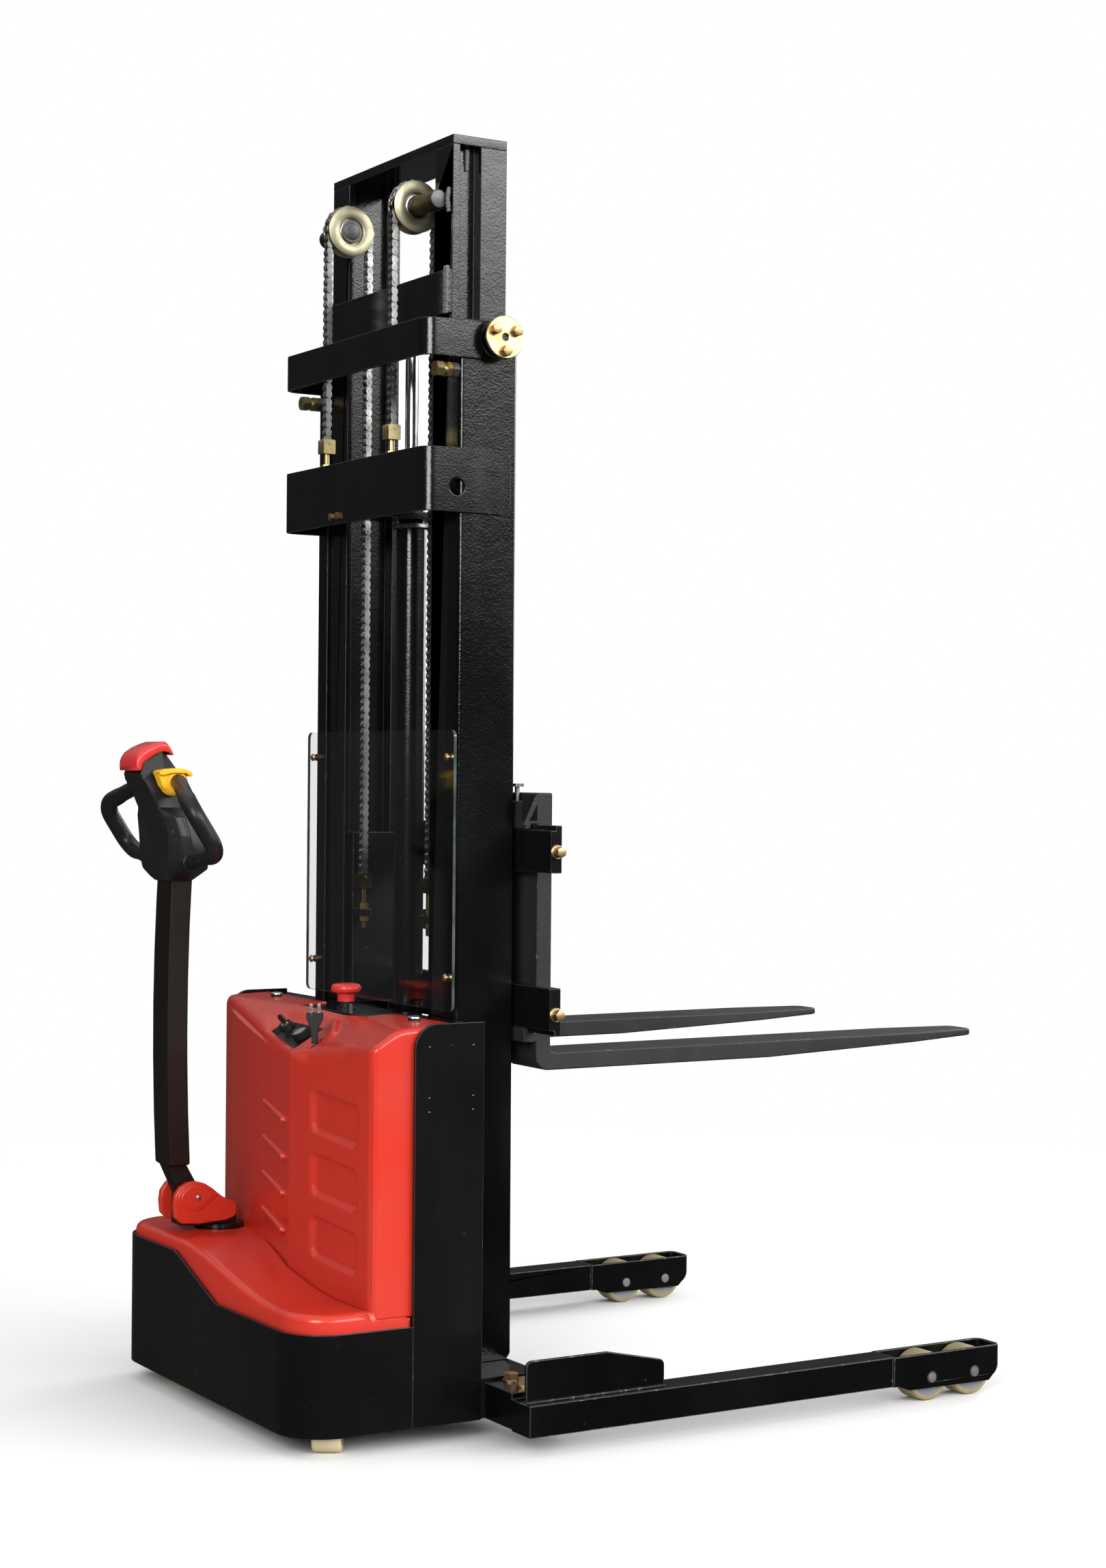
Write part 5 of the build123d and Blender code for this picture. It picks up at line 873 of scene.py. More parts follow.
form = bmesh.new()
axle = at(WHEEL_X, 0, WHEEL_Z)
for way in (Y, -Y):
    turn(form, [(14.0, 130), (15.3, 130.6), (15.3, 198.4), (14.0, 200.0), (0, 200.0)], axle, way)
    turn(form, [(0, 103.9), (12.6, 103.9), (14.4, 105.2), (14.4, 108)], axle, way, finish=1)
    turn(form, [(14.9, 105.6), (18.4, 105.6), (18.4, 106.8), (14.9, 106.8)], axle, way, finish=1, closed=True)
    turn(form, [(0, 200.3), (13.2, 200.3), (13.8, 199.9)], axle, way, finish=1)
# The axle stubs take the darkened zinc, whose dark colour is painted shade.
piece("wheel_axle_ends", form, [darkened_zinc, sawn_steel], "inner_mast", "bright_steel")

# %% [markdown]
# ## Roller caps, anchors and adjusters
# Brass-coloured fasteners stand out on the black mast: a pierced cap with three bolts on each side, the
# chain's clevises with their studs and nuts, and the screws that set the play of the mast.

# %% Roller caps
CAP_X, CAP_Z, CAP_FACE = 12.0, 1722.0, 277.0
CAP_THICK, CAP_CIRCLE = 5.0, 22.0
DISC = [(6.0, 0), (6.0, 4.2), (6.8, CAP_THICK), (32.8, CAP_THICK), (34.0, 3.8), (34.0, 0)]
form = bmesh.new()
spots = []
for side in BOTH:
    middle = at(CAP_X, side * CAP_FACE, CAP_Z)
    turn(form, DISC, middle, side * Y, 64, closed=True)
    turn(form, [(0, -1.0), (5.9, -1.0), (5.9, 1.6), (0, 1.6)], middle, side * Y, 24, 1)
    for a in (math.radians(angle) for angle in (90, 210, 330)):
        x, z = CAP_X + CAP_CIRCLE * math.cos(a), CAP_Z - CAP_CIRCLE * math.sin(a)
        spots.append((at(x, side * (CAP_FACE + CAP_THICK), z), side * Y))
piece("roller_cap_discs", form, [yellow_zinc, black_paint], "chassis", "yellow_zinc", "roller_caps")
heads("roller_cap_bolts", cap_bolt, spots, 4)

# %% Chain anchors
BLOCK = [(-10.2, -24), (10.2, -24), (11, -23), (11, -14), (-11, -14), (-11, -23)]
CHEEK = [(-11, -14), (11, -14), (11, -2), (9.5, 0), (-9.5, 0), (-11, -2)]
CROSS_PIN = [(0, -11.8), (2.4, -11.8), (2.9, -11.2), (2.9, 11.2), (2.4, 11.8), (0, 11.8)]
ANCHORS = (("mast", "chassis", BACK_X, BACK_END, 1540.0, yellow_zinc),
           ("carriage", "carriage", FRONT_X, FRONT_END, 800.0, darkened_zinc))


def anchor(form, x, y, top, lug):
    """A slotted clevis with its cross pin, its stud and the two nuts that clamp it to a lug."""
    plate(form, BLOCK, at(x, y, top), FACING_Y, 22.0)
    for shift, thick in ((-8.7, 4.6), (0, 7.0), (8.7, 4.6)):
        plate(form, CHEEK, at(x, y + shift, top), FACING_Y, thick)
    turn(form, CROSS_PIN, at(x, y, top - 6.5), Y, 16, 1)
    turn(form, [(5.0, -24), (5.0, -92.6), (3.8, -94), (0, -94)], at(x, y, top), Z, 20)
    for face, way in ((lug, Z), (lug - 12.0, -Z)):
        hexagon(form, at(x, y, face), way, 8.5, 10.0)


for name, body, x, top, lug, coat in ANCHORS:
    form = bmesh.new()
    for side in BOTH:
        anchor(form, x, side * CHAIN_Y, top, lug)
    piece(f"{name}_anchor_clevises", form, [coat, bright_steel], body, "yellow_zinc", f"{name}_chain_anchors")

# %% Adjusters and band bolts
REACH = 40.0
form = bmesh.new()
for side in BOTH:
    root = at(-52.7, side * 240.0, 1669.0)
    turn(form, [(8.0, 0), (8.0, REACH - 2)], root, -X, 24)
    for start, share, finish, hollow in ((0.0, 0.27, 1, 0.0), (0.3, 0.22, 0, 0.0), (0.65, 0.35, 0, 5.0)):
        hexagon(form, root - MM * REACH * start * X, -X, 11.0, REACH * share, finish, hollow)
piece("adjuster_screws", form, [yellow_zinc, bright_steel], "chassis", "yellow_zinc", "mast_fasteners")
heads("band_bolt_heads", band_bolt, [(at(-120.0, y, 1456.5), -X) for y in (62.0, 38.0)], 2)

# %% Leg bolts, stop bolts and shield screws
spots = [(at(-12.0, side * y, 90.0), Z) for side in BOTH for y in (367.0, 408.0)]
heads("leg_bolt_heads", leg_bolt, spots, 3, stands_for="leg_bolts")
BAR_X, BAR_END, WASHER_THICK = 71.0, 353.5, 4.0
WASHER = [(0, 0), (10.6, 0), (11.4, 0.8), (11.4, 3.2), (10.6, WASHER_THICK), (0, WASHER_THICK)]
form = bmesh.new()
spots = []
for side in BOTH:
    for z in (909.0, 653.0):
        turn(form, WASHER, at(BAR_X, side * BAR_END, z), side * Y)
        spots.append((at(BAR_X, side * (BAR_END + WASHER_THICK), z), side * Y))
piece("stop_bolt_washers", form, [yellow_zinc], "carriage", "yellow_zinc", "fork_stop_bolts")
heads("stop_bolt_heads", stop_bolt, spots, 6, "carriage")
form = bmesh.new()
for side in BOTH:
    for z in (1057.0, 708.0):
        middle = at(-63.7, side * 239.0, z)
        turn(form, [(0, -4.4), (2.6, -4.4), (5.2, -3.0), (6.5, -0.8), (6.5, 0), (0, 0)], middle, X, 24)
        turn(form, [(6.0, 5.0), (6.0, 11.0)], middle, X, 20)
        turn(form, [(3.0, 0), (3.0, 5.0)], middle, X, 16)
piece("shield_screw_heads", form, [copper_zinc], "chassis", "yellow_zinc", "shield_screws")

# %% [markdown]
# ## Battery cover and motor hood
# Both covers are glass fibre from a mould, so their surfaces run into each other in soft bends that straight
# CAD facets only hint at. Here each one is a sheet: columns run over the top from the rear edge to the front,
# and down the wall. One function of the place gives the height of the top, so a valley, a brow or a hollow is
# a term in a sum, and another pushes the wall in and out for the pressed frames.


# %% Heights and distances
def ease(share):
    """Zero up to 0, one from 1 on, and smooth between."""
    share = min(max(share, 0.0), 1.0)
    return share * share * (3 - 2 * share)


def softer(a, b, width, sense):
    """The larger of two heights for sense 1 and the smaller for -1, with a bend instead of a crease."""
    return (a + b + sense * math.hypot(a - b, width)) / 2


def sunk(radius, depth):
    """How far a rounded edge lies under its face, at a depth from the outline."""
    depth = max(depth, 0.0)
    return radius - math.sqrt(radius ** 2 - (radius - depth) ** 2) if depth < radius else 0.0


def nearest(spot, outline):
    """Distance to an outline, negative inside, and the nearest spot on it."""
    best, touch, inside = 1e9, spot, False
    for (ax, ay), (bx, by) in zip(outline, outline[1:] + outline[:1]):
        run = (bx - ax, by - ay)
        share = ((spot[0] - ax) * run[0] + (spot[1] - ay) * run[1]) / (run[0] ** 2 + run[1] ** 2)
        share = min(max(share, 0.0), 1.0)
        foot = (ax + share * run[0], ay + share * run[1])
        if math.dist(spot, foot) < best:
            best, touch = math.dist(spot, foot), foot
        if (ay > spot[1]) != (by > spot[1]) and spot[0] < ax + (spot[1] - ay) * run[0] / run[1]:
            inside = not inside
    return (-best if inside else best), touch


print("easing", [round(ease(k / 4), 3) for k in range(5)])


# %% Outlines and shells
def arc(before, here, after, radius, steps):
    """Points of the bend that rounds off a corner."""
    back, on = (before - here).normalized(), (after - here).normalized()
    half = back.angle(on) / 2
    middle = here + (back + on).normalized() * radius / math.sin(half)
    first = here + back * radius / math.tan(half) - middle
    sweep, axis = 2 * half - math.pi, back.cross(on)
    return [middle + Matrix.Rotation(sweep * k / steps, 3, axis) @ first for k in range(steps + 1)]


def rounded(corners, pitch):
    """Points along (x, y, radius) corners, with arcs at the corners and even steps between."""
    spots = [Vector((x, y, 0)) for x, y, _ in corners]
    bends = [spots[:1]]
    for before, here, after, (_, _, radius) in zip(spots, spots[1:], spots[2:], corners[1:]):
        sweep = math.pi - (before - here).angle(after - here)
        bends.append(arc(before, here, after, radius, max(4, round(radius * sweep / pitch))))
    bends.append(spots[-1:])
    path = []
    for bend, following in zip(bends, bends[1:]):
        gap = following[0] - bend[-1]
        count = max(1, round(gap.length / pitch))
        path += bend + [bend[-1] + gap * i / count for i in range(1, count)]
    return [(spot.x, spot.y) for spot in path + bends[-1]]


def shell(form, rear, front, steps, height, foot, push, levels):
    """A cover: a top over columns that start on the rear outline, and a wall under the outline."""
    top = [[height(value, y) for value in steps(x, front(x, y))] for x, y in rear]
    sheet(form, [[at(*spot) for spot in column] for column in top])
    edge = top[0][:0:-1] + [column[0] for column in top] + top[-1][1:]
    wall = []
    for k, (x, y, z) in enumerate(edge):
        before, after = edge[max(k - 1, 0)], edge[min(k + 1, len(edge) - 1)]
        along = (Vector(after[:2]) - Vector(before[:2])).normalized()
        base = foot(x, y)
        column = []
        for level in range(levels + 1):
            rise = base + (z - base) * level / levels
            reach = push(y, rise) if 0 < level < levels else 0.0
            column.append(at(x + reach * along.y, y - reach * along.x, rise))
        wall.append(column)
    sheet(form, wall)
    bmesh.ops.remove_doubles(form, verts=form.verts, dist=2e-5)


print("a bend from", rounded([(0, 0, 0), (9, 0, 3), (9, 9, 0)], 3)[3], "on")

# %% Battery cover's top
HALF, BACK_LEFT, BACK_RIGHT, FRONT = 346.0, -178.0, -247.0, -100.0
CREASE, CORNER = (-250.0, -65.0), 14.0
LEVEL_TOP, LEVEL_RISE = 645.0, 0.03
VALLEY, VALLEY_RISE = 577.0, 0.62
LEFT_RISE, RIGHT_RISE = 0.0544, -0.1215
WELL = [(-212, 85), (-185, 84), (-179, -47), (-193, -51), (-231, -47)]
BROW = [(-218, 112), (-203, 147), (-177, 150), (-168, 104), (-164, 29), (-157, -54), (-178, -58), (-196, -58),
        (-237, -53)]
BROW_DEEP, WELL_DEEP = 7.0, 9.0
NOTCH_REAR, NOTCH_TOP = -151.5, 634.5
NOTCH = [(NOTCH_REAR, 107.5), (-90, 107.5), (-90, -137.5), (NOTCH_REAR, -137.5)]
BOSS, BOSS_TALL, BOSS_HALF = [(-178, -76), (-206, -124), (-205, -125)], 6.0, 13.0
PLUG = (-222.0, -97.0)
HOLE, HOLE_HALF, HOLE_DEEP = (PLUG[0], PLUG[1] + 2), (13.0, 17.0), 6.0
WELL_SNAP, NOTCH_SNAP = 1.6, 1.4


def facets(x, y):
    """The level top and the two facets that meet in a valley at the crease."""
    valley = VALLEY + VALLEY_RISE * (x - CREASE[0])
    aside = y - CREASE[1]
    facet = softer(valley + LEFT_RISE * aside, valley + RIGHT_RISE * aside, 4.0, 1)
    return softer(LEVEL_TOP + LEVEL_RISE * (x - FRONT), facet, 6.0, -1)


def edge_round(y):
    """Radius of the rear edge: crisp at the crease, broad to the right of it."""
    if y > CREASE[1]:
        return 5.0 + 6.0 * ease((y - CREASE[1]) / 40)
    return 5.0 + 22.0 * ease((CREASE[1] - y) / 60) - 18.0 * ease((-230 - y) / 100)


def inset(x, y):
    """Distance from the cover's outline, with round corners."""
    left = Vector((BACK_LEFT, HALF)) - Vector(CREASE)
    right = Vector((BACK_RIGHT, -HALF)) - Vector(CREASE)
    spot = Vector((x, y)) - Vector(CREASE)
    rear = min(left.cross(spot) / -left.length, right.cross(spot) / right.length)
    side = HALF - abs(y)
    if rear < CORNER and side < CORNER:
        return CORNER - math.hypot(CORNER - rear, CORNER - side)
    return min(rear, side)


def cover_top(x, y):
    """The cover's top, with its well, brow, plug hole, boss and the seat of the panel; rims snap to lines."""
    drop = 0.0
    well, touch = nearest((x, y), WELL)
    if abs(well) < WELL_SNAP:
        x, y = touch
        well = 0.0
    brow, _ = nearest((x, y), BROW)
    if well <= 0:
        drop = BROW_DEEP + WELL_DEEP * ease(-well / 3.0)
    elif brow < 0:
        drop = BROW_DEEP * ease(brow / (brow - well))
    notch, touch = nearest((x, y), NOTCH)
    if abs(notch) < NOTCH_SNAP and x < FRONT - 1:
        x, y = touch
    hole = math.hypot((x - HOLE[0]) / HOLE_HALF[0], (y - HOLE[1]) / HOLE_HALF[1])
    drop += HOLE_DEEP * ease((1.0 - hole) / 0.25)
    boss, _ = nearest((x, y), BOSS)
    drop -= BOSS_TALL * ease(1.0 - abs(boss) / BOSS_HALF)
    z = facets(x, y) - drop
    if notch < -0.2:
        z = min(z, NOTCH_TOP)
    return x, y, z - sunk(edge_round(y), inset(x, y))


print("crease top", [round(v, 1) for v in cover_top(*CREASE)])

# %% Battery cover's wall
FRAME_Y, FRAME_LOW, FRAME_PITCH, FRAMES = -219.5, 262.0, 98.0, 3
FRAME_HALF, FRAME_ROUND, FRAME_DEEP = (81.0, 35.0), 18.0, 9.0
COVER_FOOT, STRIP_FOOT, COVER_WALL = 12.0, 202.5, 4.0


def hood_top(y):
    """The hood's crest: level on the left, then a long bend down to the right."""
    return 265.0 - 49.0 * ease((120.0 - y) / 375.0)


def cover_foot(x, y):
    """The wall's foot: behind the hood, and on the skirt's strip at the right."""
    return STRIP_FOOT if y < -HALF + 1 and x > BACK_RIGHT + CORNER - 1 else hood_top(y) - COVER_FOOT


def cover_push(y, z):
    """Presses three frames into the right panel and bends the left one a little."""
    if y > CREASE[1]:
        return 7.0 * ease((HALF - y) / 118.0) * ease((y - CREASE[1]) / 290.0)
    reach = 0.0
    for k in range(FRAMES):
        middle = FRAME_LOW + FRAME_HALF[1] + k * FRAME_PITCH + 0.06 * (y - FRAME_Y)
        aside = zip((y - FRAME_Y, z - middle), FRAME_HALF)
        over = [max(abs(value) - half + FRAME_ROUND, 0.0) for value, half in aside]
        share = (FRAME_ROUND - math.hypot(*over)) / 8.0
        reach -= FRAME_DEEP * (0.35 * ease(share) + 0.65 * min(max(share, 0.0), 1.0))
    return reach


def cover_steps(x, front):
    """A column's steps: fine over the round edge, even up to the panel's seat, and then to the front."""
    near = [x + 27.0 * (1 - math.cos(math.radians(angle))) for angle in (0, 10, 20, 30, 42, 56)]
    middle = [near[-1] + (NOTCH_REAR - 2 - near[-1]) * k / 24 for k in range(1, 25)]
    return near + middle + [NOTCH_REAR, NOTCH_REAR + 2, -140, -128, -116, front]


rear_path = rounded([(FRONT, HALF, 0), (BACK_LEFT, HALF, CORNER), (*CREASE, 3.0), (BACK_RIGHT, -HALF, CORNER),
                     (FRONT, -HALF, 0)], 3.1)
cover_rear = [spot for spot in rear_path if abs(spot[1]) < HALF - 0.02]
cover_rear = [(BACK_LEFT + 11.8, HALF)] + cover_rear + [(BACK_RIGHT + CORNER, -HALF)]
form = bmesh.new()
shell(form, cover_rear, lambda x, y: FRONT, cover_steps, cover_top, cover_foot, cover_push, 136)
# Faces deep in the well are its black switch tray; the plug's hole is coloured black as well, a painted shade of
# its depth.
for face in form.faces:
    middle = (face.calc_center_median() - MAST) / MM
    dark = nearest(middle[:2], WELL)[0] < -0.4 or math.dist(middle[:2], HOLE) < 11.0
    if dark and middle.z > 560:
        face.material_index = 1
cover = piece("cover_shell", form, [red_shell, black_plastic], "chassis", "red_shell", "battery_cover", 50.0)
walled(cover, COVER_WALL)

# %% [markdown]
# ## Ribs
# Four slanted ribs stand on the left panel, each one a wedge that rises towards the crease. One rib is drawn
# along the panel's own directions, and a tree copies it down the panel.

# %% Ribs
RIB_START, RIB_END = Vector((-224.0, 86.0, 490.0)), Vector((-247.0, -46.0, 470.0))
RIB_PITCH, RIB_COUNT, RIB_STEPS = 59.2, 4, 24
RIB_BLUNT, RIB_SUNK = 0.03, 1.0


def blunt(share):
    """One along a rib, rounded off to nothing at both ends."""
    near = min(share, 1 - share) / RIB_BLUNT
    return math.sqrt(1 - (1 - near) ** 2) if near < 1 else 1.0


panel_out = Vector((-411.0, 72.0, 0.0)).normalized()
rib_along = RIB_END - RIB_START
rib_up = panel_out.cross(rib_along).normalized()
rows = []
for share in (k / RIB_STEPS for k in range(RIB_STEPS + 1)):
    middle = rib_along * share + panel_out * (cover_push(RIB_START.y + rib_along.y * share, 0.0) - RIB_SUNK)
    wide, tall = 1.25 * (3.4 + 1.4 * share) * blunt(share), (3.4 + 4.4 * share) * blunt(share) + RIB_SUNK
    angles = [math.pi * i / 10 for i in range(11)]
    rows.append([MM * (middle + rib_up * wide * math.cos(a) + panel_out * tall * math.sin(a)) for a in angles])
form = bmesh.new()
sheet(form, rows)
rib = sample("rib", form)
places = [at(*(RIB_START - RIB_PITCH * k * Z)) for k in range(RIB_COUNT)]
ribs = copies.grow("cover_ribs", places, Part=rib, Finish=red_shell)
dress("cover_ribs", ribs, [red_shell], "chassis", "red_shell")

# %% [markdown]
# ## Motor hood
# The hood closes the gap between the cover and the skirt. Its crest is level over the drive unit and bends
# down to the right, and a round hole lets the steering neck through. A dark slit stays open along the cover.

# %% Motor hood
HOOD_HALF, HOOD_REAR, HOOD_FOOT = 348.5, -363.5, 170.0
HOOD_CORNER, HOOD_ROUND, HOOD_WALL, SLIT = 71.5, 12.0, 3.0, 1.6
NECK, NECK_HOLE, NECK_SNAP = (-250.0, 205.0), 43.0, 3.2


def hood_front(x, y):
    """The slit behind the cover's wall."""
    if abs(y) > HALF - 0.5:
        return BACK_LEFT - SLIT
    return min(cover_rear, key=lambda spot: abs(spot[1] - y))[0] - SLIT


def hood_height(x, y):
    """The hood's top, with the rim of the neck's hole and the strip beside the cover."""
    away = Vector((x, y)) - Vector(NECK)
    if abs(away.length - NECK_HOLE) < NECK_SNAP:
        x, y = Vector(NECK) + away.normalized() * NECK_HOLE
    z = hood_top(y)
    strip = y < -HALF + 1.0
    if strip:
        z -= (z - STRIP_FOOT + 1.5) * ease((x - BACK_RIGHT + 8.0) / 12.0)
    side, rear = HOOD_HALF - abs(y), x - HOOD_REAR
    depth = min(side, rear)
    if side < HOOD_CORNER and rear < HOOD_CORNER:
        depth = HOOD_CORNER - math.hypot(HOOD_CORNER - side, HOOD_CORNER - rear)
    if strip and x > BACK_RIGHT - 8.0:
        depth = HOOD_ROUND
    return x, y, z - sunk(HOOD_ROUND, depth)


def hood_steps(x, front):
    """A column's steps: fine over the round edge, and even up to the slit."""
    near = [x + HOOD_ROUND * (1 - math.cos(math.radians(angle))) for angle in (0, 15, 30, 45, 60, 75)]
    return near + [near[-1] + (front - near[-1]) * k / 26 for k in range(1, 27)]


hood_path = rounded([(BACK_LEFT, HOOD_HALF, 0), (HOOD_REAR, HOOD_HALF, HOOD_CORNER),
                     (HOOD_REAR, -HOOD_HALF, HOOD_CORNER), (BACK_LEFT, -HOOD_HALF, 0)], 5.0)
hood_rear = [spot for spot in hood_path if abs(spot[1]) < HOOD_HALF - 0.01]
hood_rear = [(HOOD_REAR + HOOD_CORNER, HOOD_HALF)] + hood_rear + [(HOOD_REAR + HOOD_CORNER, -HOOD_HALF)]
form = bmesh.new()
shell(form, hood_rear, hood_front, hood_steps, hood_height, lambda x, y: HOOD_FOOT, lambda y, z: 0.0, 10)
hole = [face for face in form.faces
        if math.dist(((face.calc_center_median() - MAST) / MM)[:2], NECK) < NECK_HOLE - 0.8]
bmesh.ops.delete(form, geom=hole, context="FACES")
hood = piece("hood_shell", form, [red_shell], "chassis", "red_shell", "motor_hood", 60.0)
walled(hood, HOOD_WALL)

# %% [markdown]
# ## Tiller head
# The head is a plastic shell whose outline changes with height, so it is lofted: each height has a plan of
# four corners on one side, mirrored to the other, and faces join one plan to the next. The last plan slopes,
# to make room for the red button. A live bevel rounds the edges.


# %% Tiller head
def on_tiller(x, y, z):
    """A point in millimetres, counted from the tiller's arm."""
    return at(ARM[0] + x, ARM[1] + y, z)


LEVELS = (
    (848, (-23, 31), (-21, 33), (12, 33), (16, 31)),
    (856, (-29, 42), (-22, 47), (8, 47), (27, 34)),
    (868, (-36, 54), (-22, 70), (4, 70), (44, 36)),
    (882, (-38, 58.5), (-21, 77), (4, 77), (44, 37)),
    (905, (-39.5, 60), (-21.5, 79), (-1, 79), (42, 37)),
    (925, (-40.5, 60.5), (-22, 79), (-7, 79), (39, 36)),
    (957, (-46, 55), (-30, 71.5), (-14, 71.5), (30, 32)),
    (970, (-50.5, 41), (-47.5, 42.5), (-20, 42), (25, 27)),
    (996, (-62.5, 38.5), (-60, 40), (-26, 40), (15, 24)),
    (1011, (-72, 37.5), (-69.5, 39), (-30, 39), (9, 22)),
    (1019, (-76.5, 37), (-74, 38), (-32, 38), (5, 21)),
)
SLOPE = [(-79.0, 35.0, 1026.0), (-73.0, 35.6, 1046.0), (-40.0, 35.6, 1065.0), (-26.0, 22.0, 1057.5)]
plans = [[(x, half, z) for x, half in plan] for z, *plan in LEVELS] + [SLOPE]
form = bmesh.new()
rings = [[form.verts.new(on_tiller(*corner)) for corner in mirrored(plan)] for plan in plans]
skin(form, rings)
close(form, rings)
head_body = piece("tiller_head_body", form, [grip_plastic], "tiller", "black_plastic", "tiller_head", None)
bevelled(head_body, 2.2, 3, 12.0)


# %% Wires and tubes
def bent(corners, radius, pitch):
    """Even points along a wire that is bent at its corners."""
    corners = [Vector(corner) for corner in corners]
    path = corners[:1]
    for before, here, after in zip(corners, corners[1:], corners[2:]):
        path += arc(before, here, after, radius, 8)
    path.append(corners[-1])
    lengths = [0.0]
    for a, b in zip(path, path[1:]):
        lengths.append(lengths[-1] + (b - a).length)
    count = round(lengths[-1] / pitch)
    even = []
    for k in range(count + 1):
        reach = lengths[-1] * k / count
        i = min(max(sum(1 for length in lengths if length < reach), 1), len(path) - 1)
        even.append(path[i - 1].lerp(path[i], (reach - lengths[i - 1]) / (lengths[i] - lengths[i - 1])))
    return even


def tube(form, path, girth, place, steps=24):
    """A round bar along a path of millimetres; girth gives the radius at each share of its length."""
    way = (path[1] - path[0]).normalized()
    side, up = across(way)
    angles = [2 * math.pi * i / steps for i in range(steps + 1)]
    rows = [[place(*path[0])] * (steps + 1)]
    for k, spot in enumerate(path):
        onward = (path[min(k + 1, len(path) - 1)] - path[max(k - 1, 0)]).normalized()
        swing = way.rotation_difference(onward)
        side, up, way = swing @ side, swing @ up, onward
        radius = girth(k / (len(path) - 1))
        rows.append([place(*(spot + radius * (math.cos(a) * side + math.sin(a) * up))) for a in angles])
    rows.append([place(*path[-1])] * (steps + 1))
    sheet(form, rows)
    bmesh.ops.remove_doubles(form, verts=form.verts, dist=1e-6)


print("a wire of", len(bent([(0, 0, 0), (50, 0, 0), (50, 50, 0)], 20.0, 5.0)), "points")


# %% Loop handles
def handle_girth(share):
    """A slim root, a fuller hand grip and a slim return."""
    return 13.0 + 1.4 * ease((share - 0.3) / 0.05) - 1.6 * ease((share - 0.74) / 0.05)


ROOT, RETURN = (-25.0, 1013.0), (-5.0, 880.0)
LOOP = [(ROOT[0], 30, ROOT[1]), (ROOT[0], 72, ROOT[1]), (-52.5, 185, 973), (-4, 186, 898),
        (RETURN[0], 66, RETURN[1])]
COLLAR = [(11.0, 74), (17.0, 74), (17.0, 81), (16.0, 82.8), (14.4, 83.4), (11.0, 83.4)]
form = bmesh.new()
for side in BOTH:
    tube(form, bent([(x, side * y, z) for x, y, z in LOOP], 30.0, 5.0), handle_girth, on_tiller)
    turn(form, COLLAR, on_tiller(RETURN[0], 0, RETURN[1]), side * Y, 32, closed=True)
piece("tiller_loops", form, [grip_plastic], "tiller", "black_plastic", sharp=50.0)

# %% Throttle
WING = [(-34.5, 12.5), (-34, 17), (-28, 19.8), (-14, 22.2), (0, 22.8), (12, 21.6), (20, 18.6), (25, 14.5),
        (25, 10.5), (21, 9), (14.5, 13.8), (0, 14.2), (-14, 13.8), (-28, 10.5)]
LOBE = [(13.8, 40.6), (22.6, 40.6), (23.2, 44), (22.6, 52), (20.5, 60), (17.2, 66), (14.8, 67.6), (13.8, 67.6)]
WEB = [(-33, 13.2), (-29, 5), (-25.5, -5), (-19, -13)]
WEB += [(14.0 * math.cos(a), 14.0 * math.sin(a)) for a in map(math.radians, range(214, 84, -13))]
form = bmesh.new()
for side in BOTH:
    plate(form, WING, on_tiller(ROOT[0], side * 56.5, ROOT[1]), FACING_Y, 32.0)
    plate(form, WEB, on_tiller(ROOT[0], side * 52.0, ROOT[1]), FACING_Y, 22.8)
    turn(form, LOBE, on_tiller(ROOT[0], 0, ROOT[1]), side * Y, closed=True)
wings = piece("throttle_wings", form, [yellow_plastic], "throttle", "yellow_plastic", "throttle", None)
bevelled(wings, 2.6, 4, 30.0)

# %% Belly button
CAP_HALF, CAP_EDGE, CAP_WALL = 38.4, 7.0, 1.8
CREST = [(-84, 1031.5), (-86.3, 1041), (-86, 1049), (-83.5, 1055), (-78.5, 1062), (-67, 1069.5), (-53, 1076),
         (-41, 1079.8), (-33, 1079.6), (-27.5, 1074), (-23, 1066), (-20.5, 1058)]
HEM = [(-84, 1031.5), (-80, 1031.5), (-76.5, 1034), (-74, 1045), (-67, 1049.5), (-58, 1055), (-50, 1060),
       (-41, 1063.5), (-34, 1063.5), (-29, 1062.3), (-24.5, 1059.5), (-20.5, 1058)]
rows = []
for (x, z), (low_x, low_z) in zip(CREST, HEM):
    inward = Vector((low_x - x, low_z - z))
    edge = min(CAP_EDGE, 0.5 * inward.length)
    inward.normalize()
    half = [(low_x, CAP_HALF, low_z)]
    for a in map(math.radians, range(0, 91, 15)):
        sink = edge * (1 - math.sin(a))
        half.append((x + inward.x * sink, CAP_HALF - edge * (1 - math.cos(a)), z + inward.y * sink))
    rows.append([on_tiller(*spot) for spot in mirrored(half)])
form = bmesh.new()
sheet(form, rows)
bmesh.ops.remove_doubles(form, verts=form.verts, dist=1e-6)
button = piece("belly_button_cap", form, [red_cap], "belly_button", "red_shell", "belly_button", 60.0)
walled(button, CAP_WALL)

# %% [markdown]
# ## Ear covers
# A red cover hides each end of the tiller's pivot: domed behind, with a lower tail in front. Two steps that
# run in the shape of a hook catch the light, and a screw holds the cover.

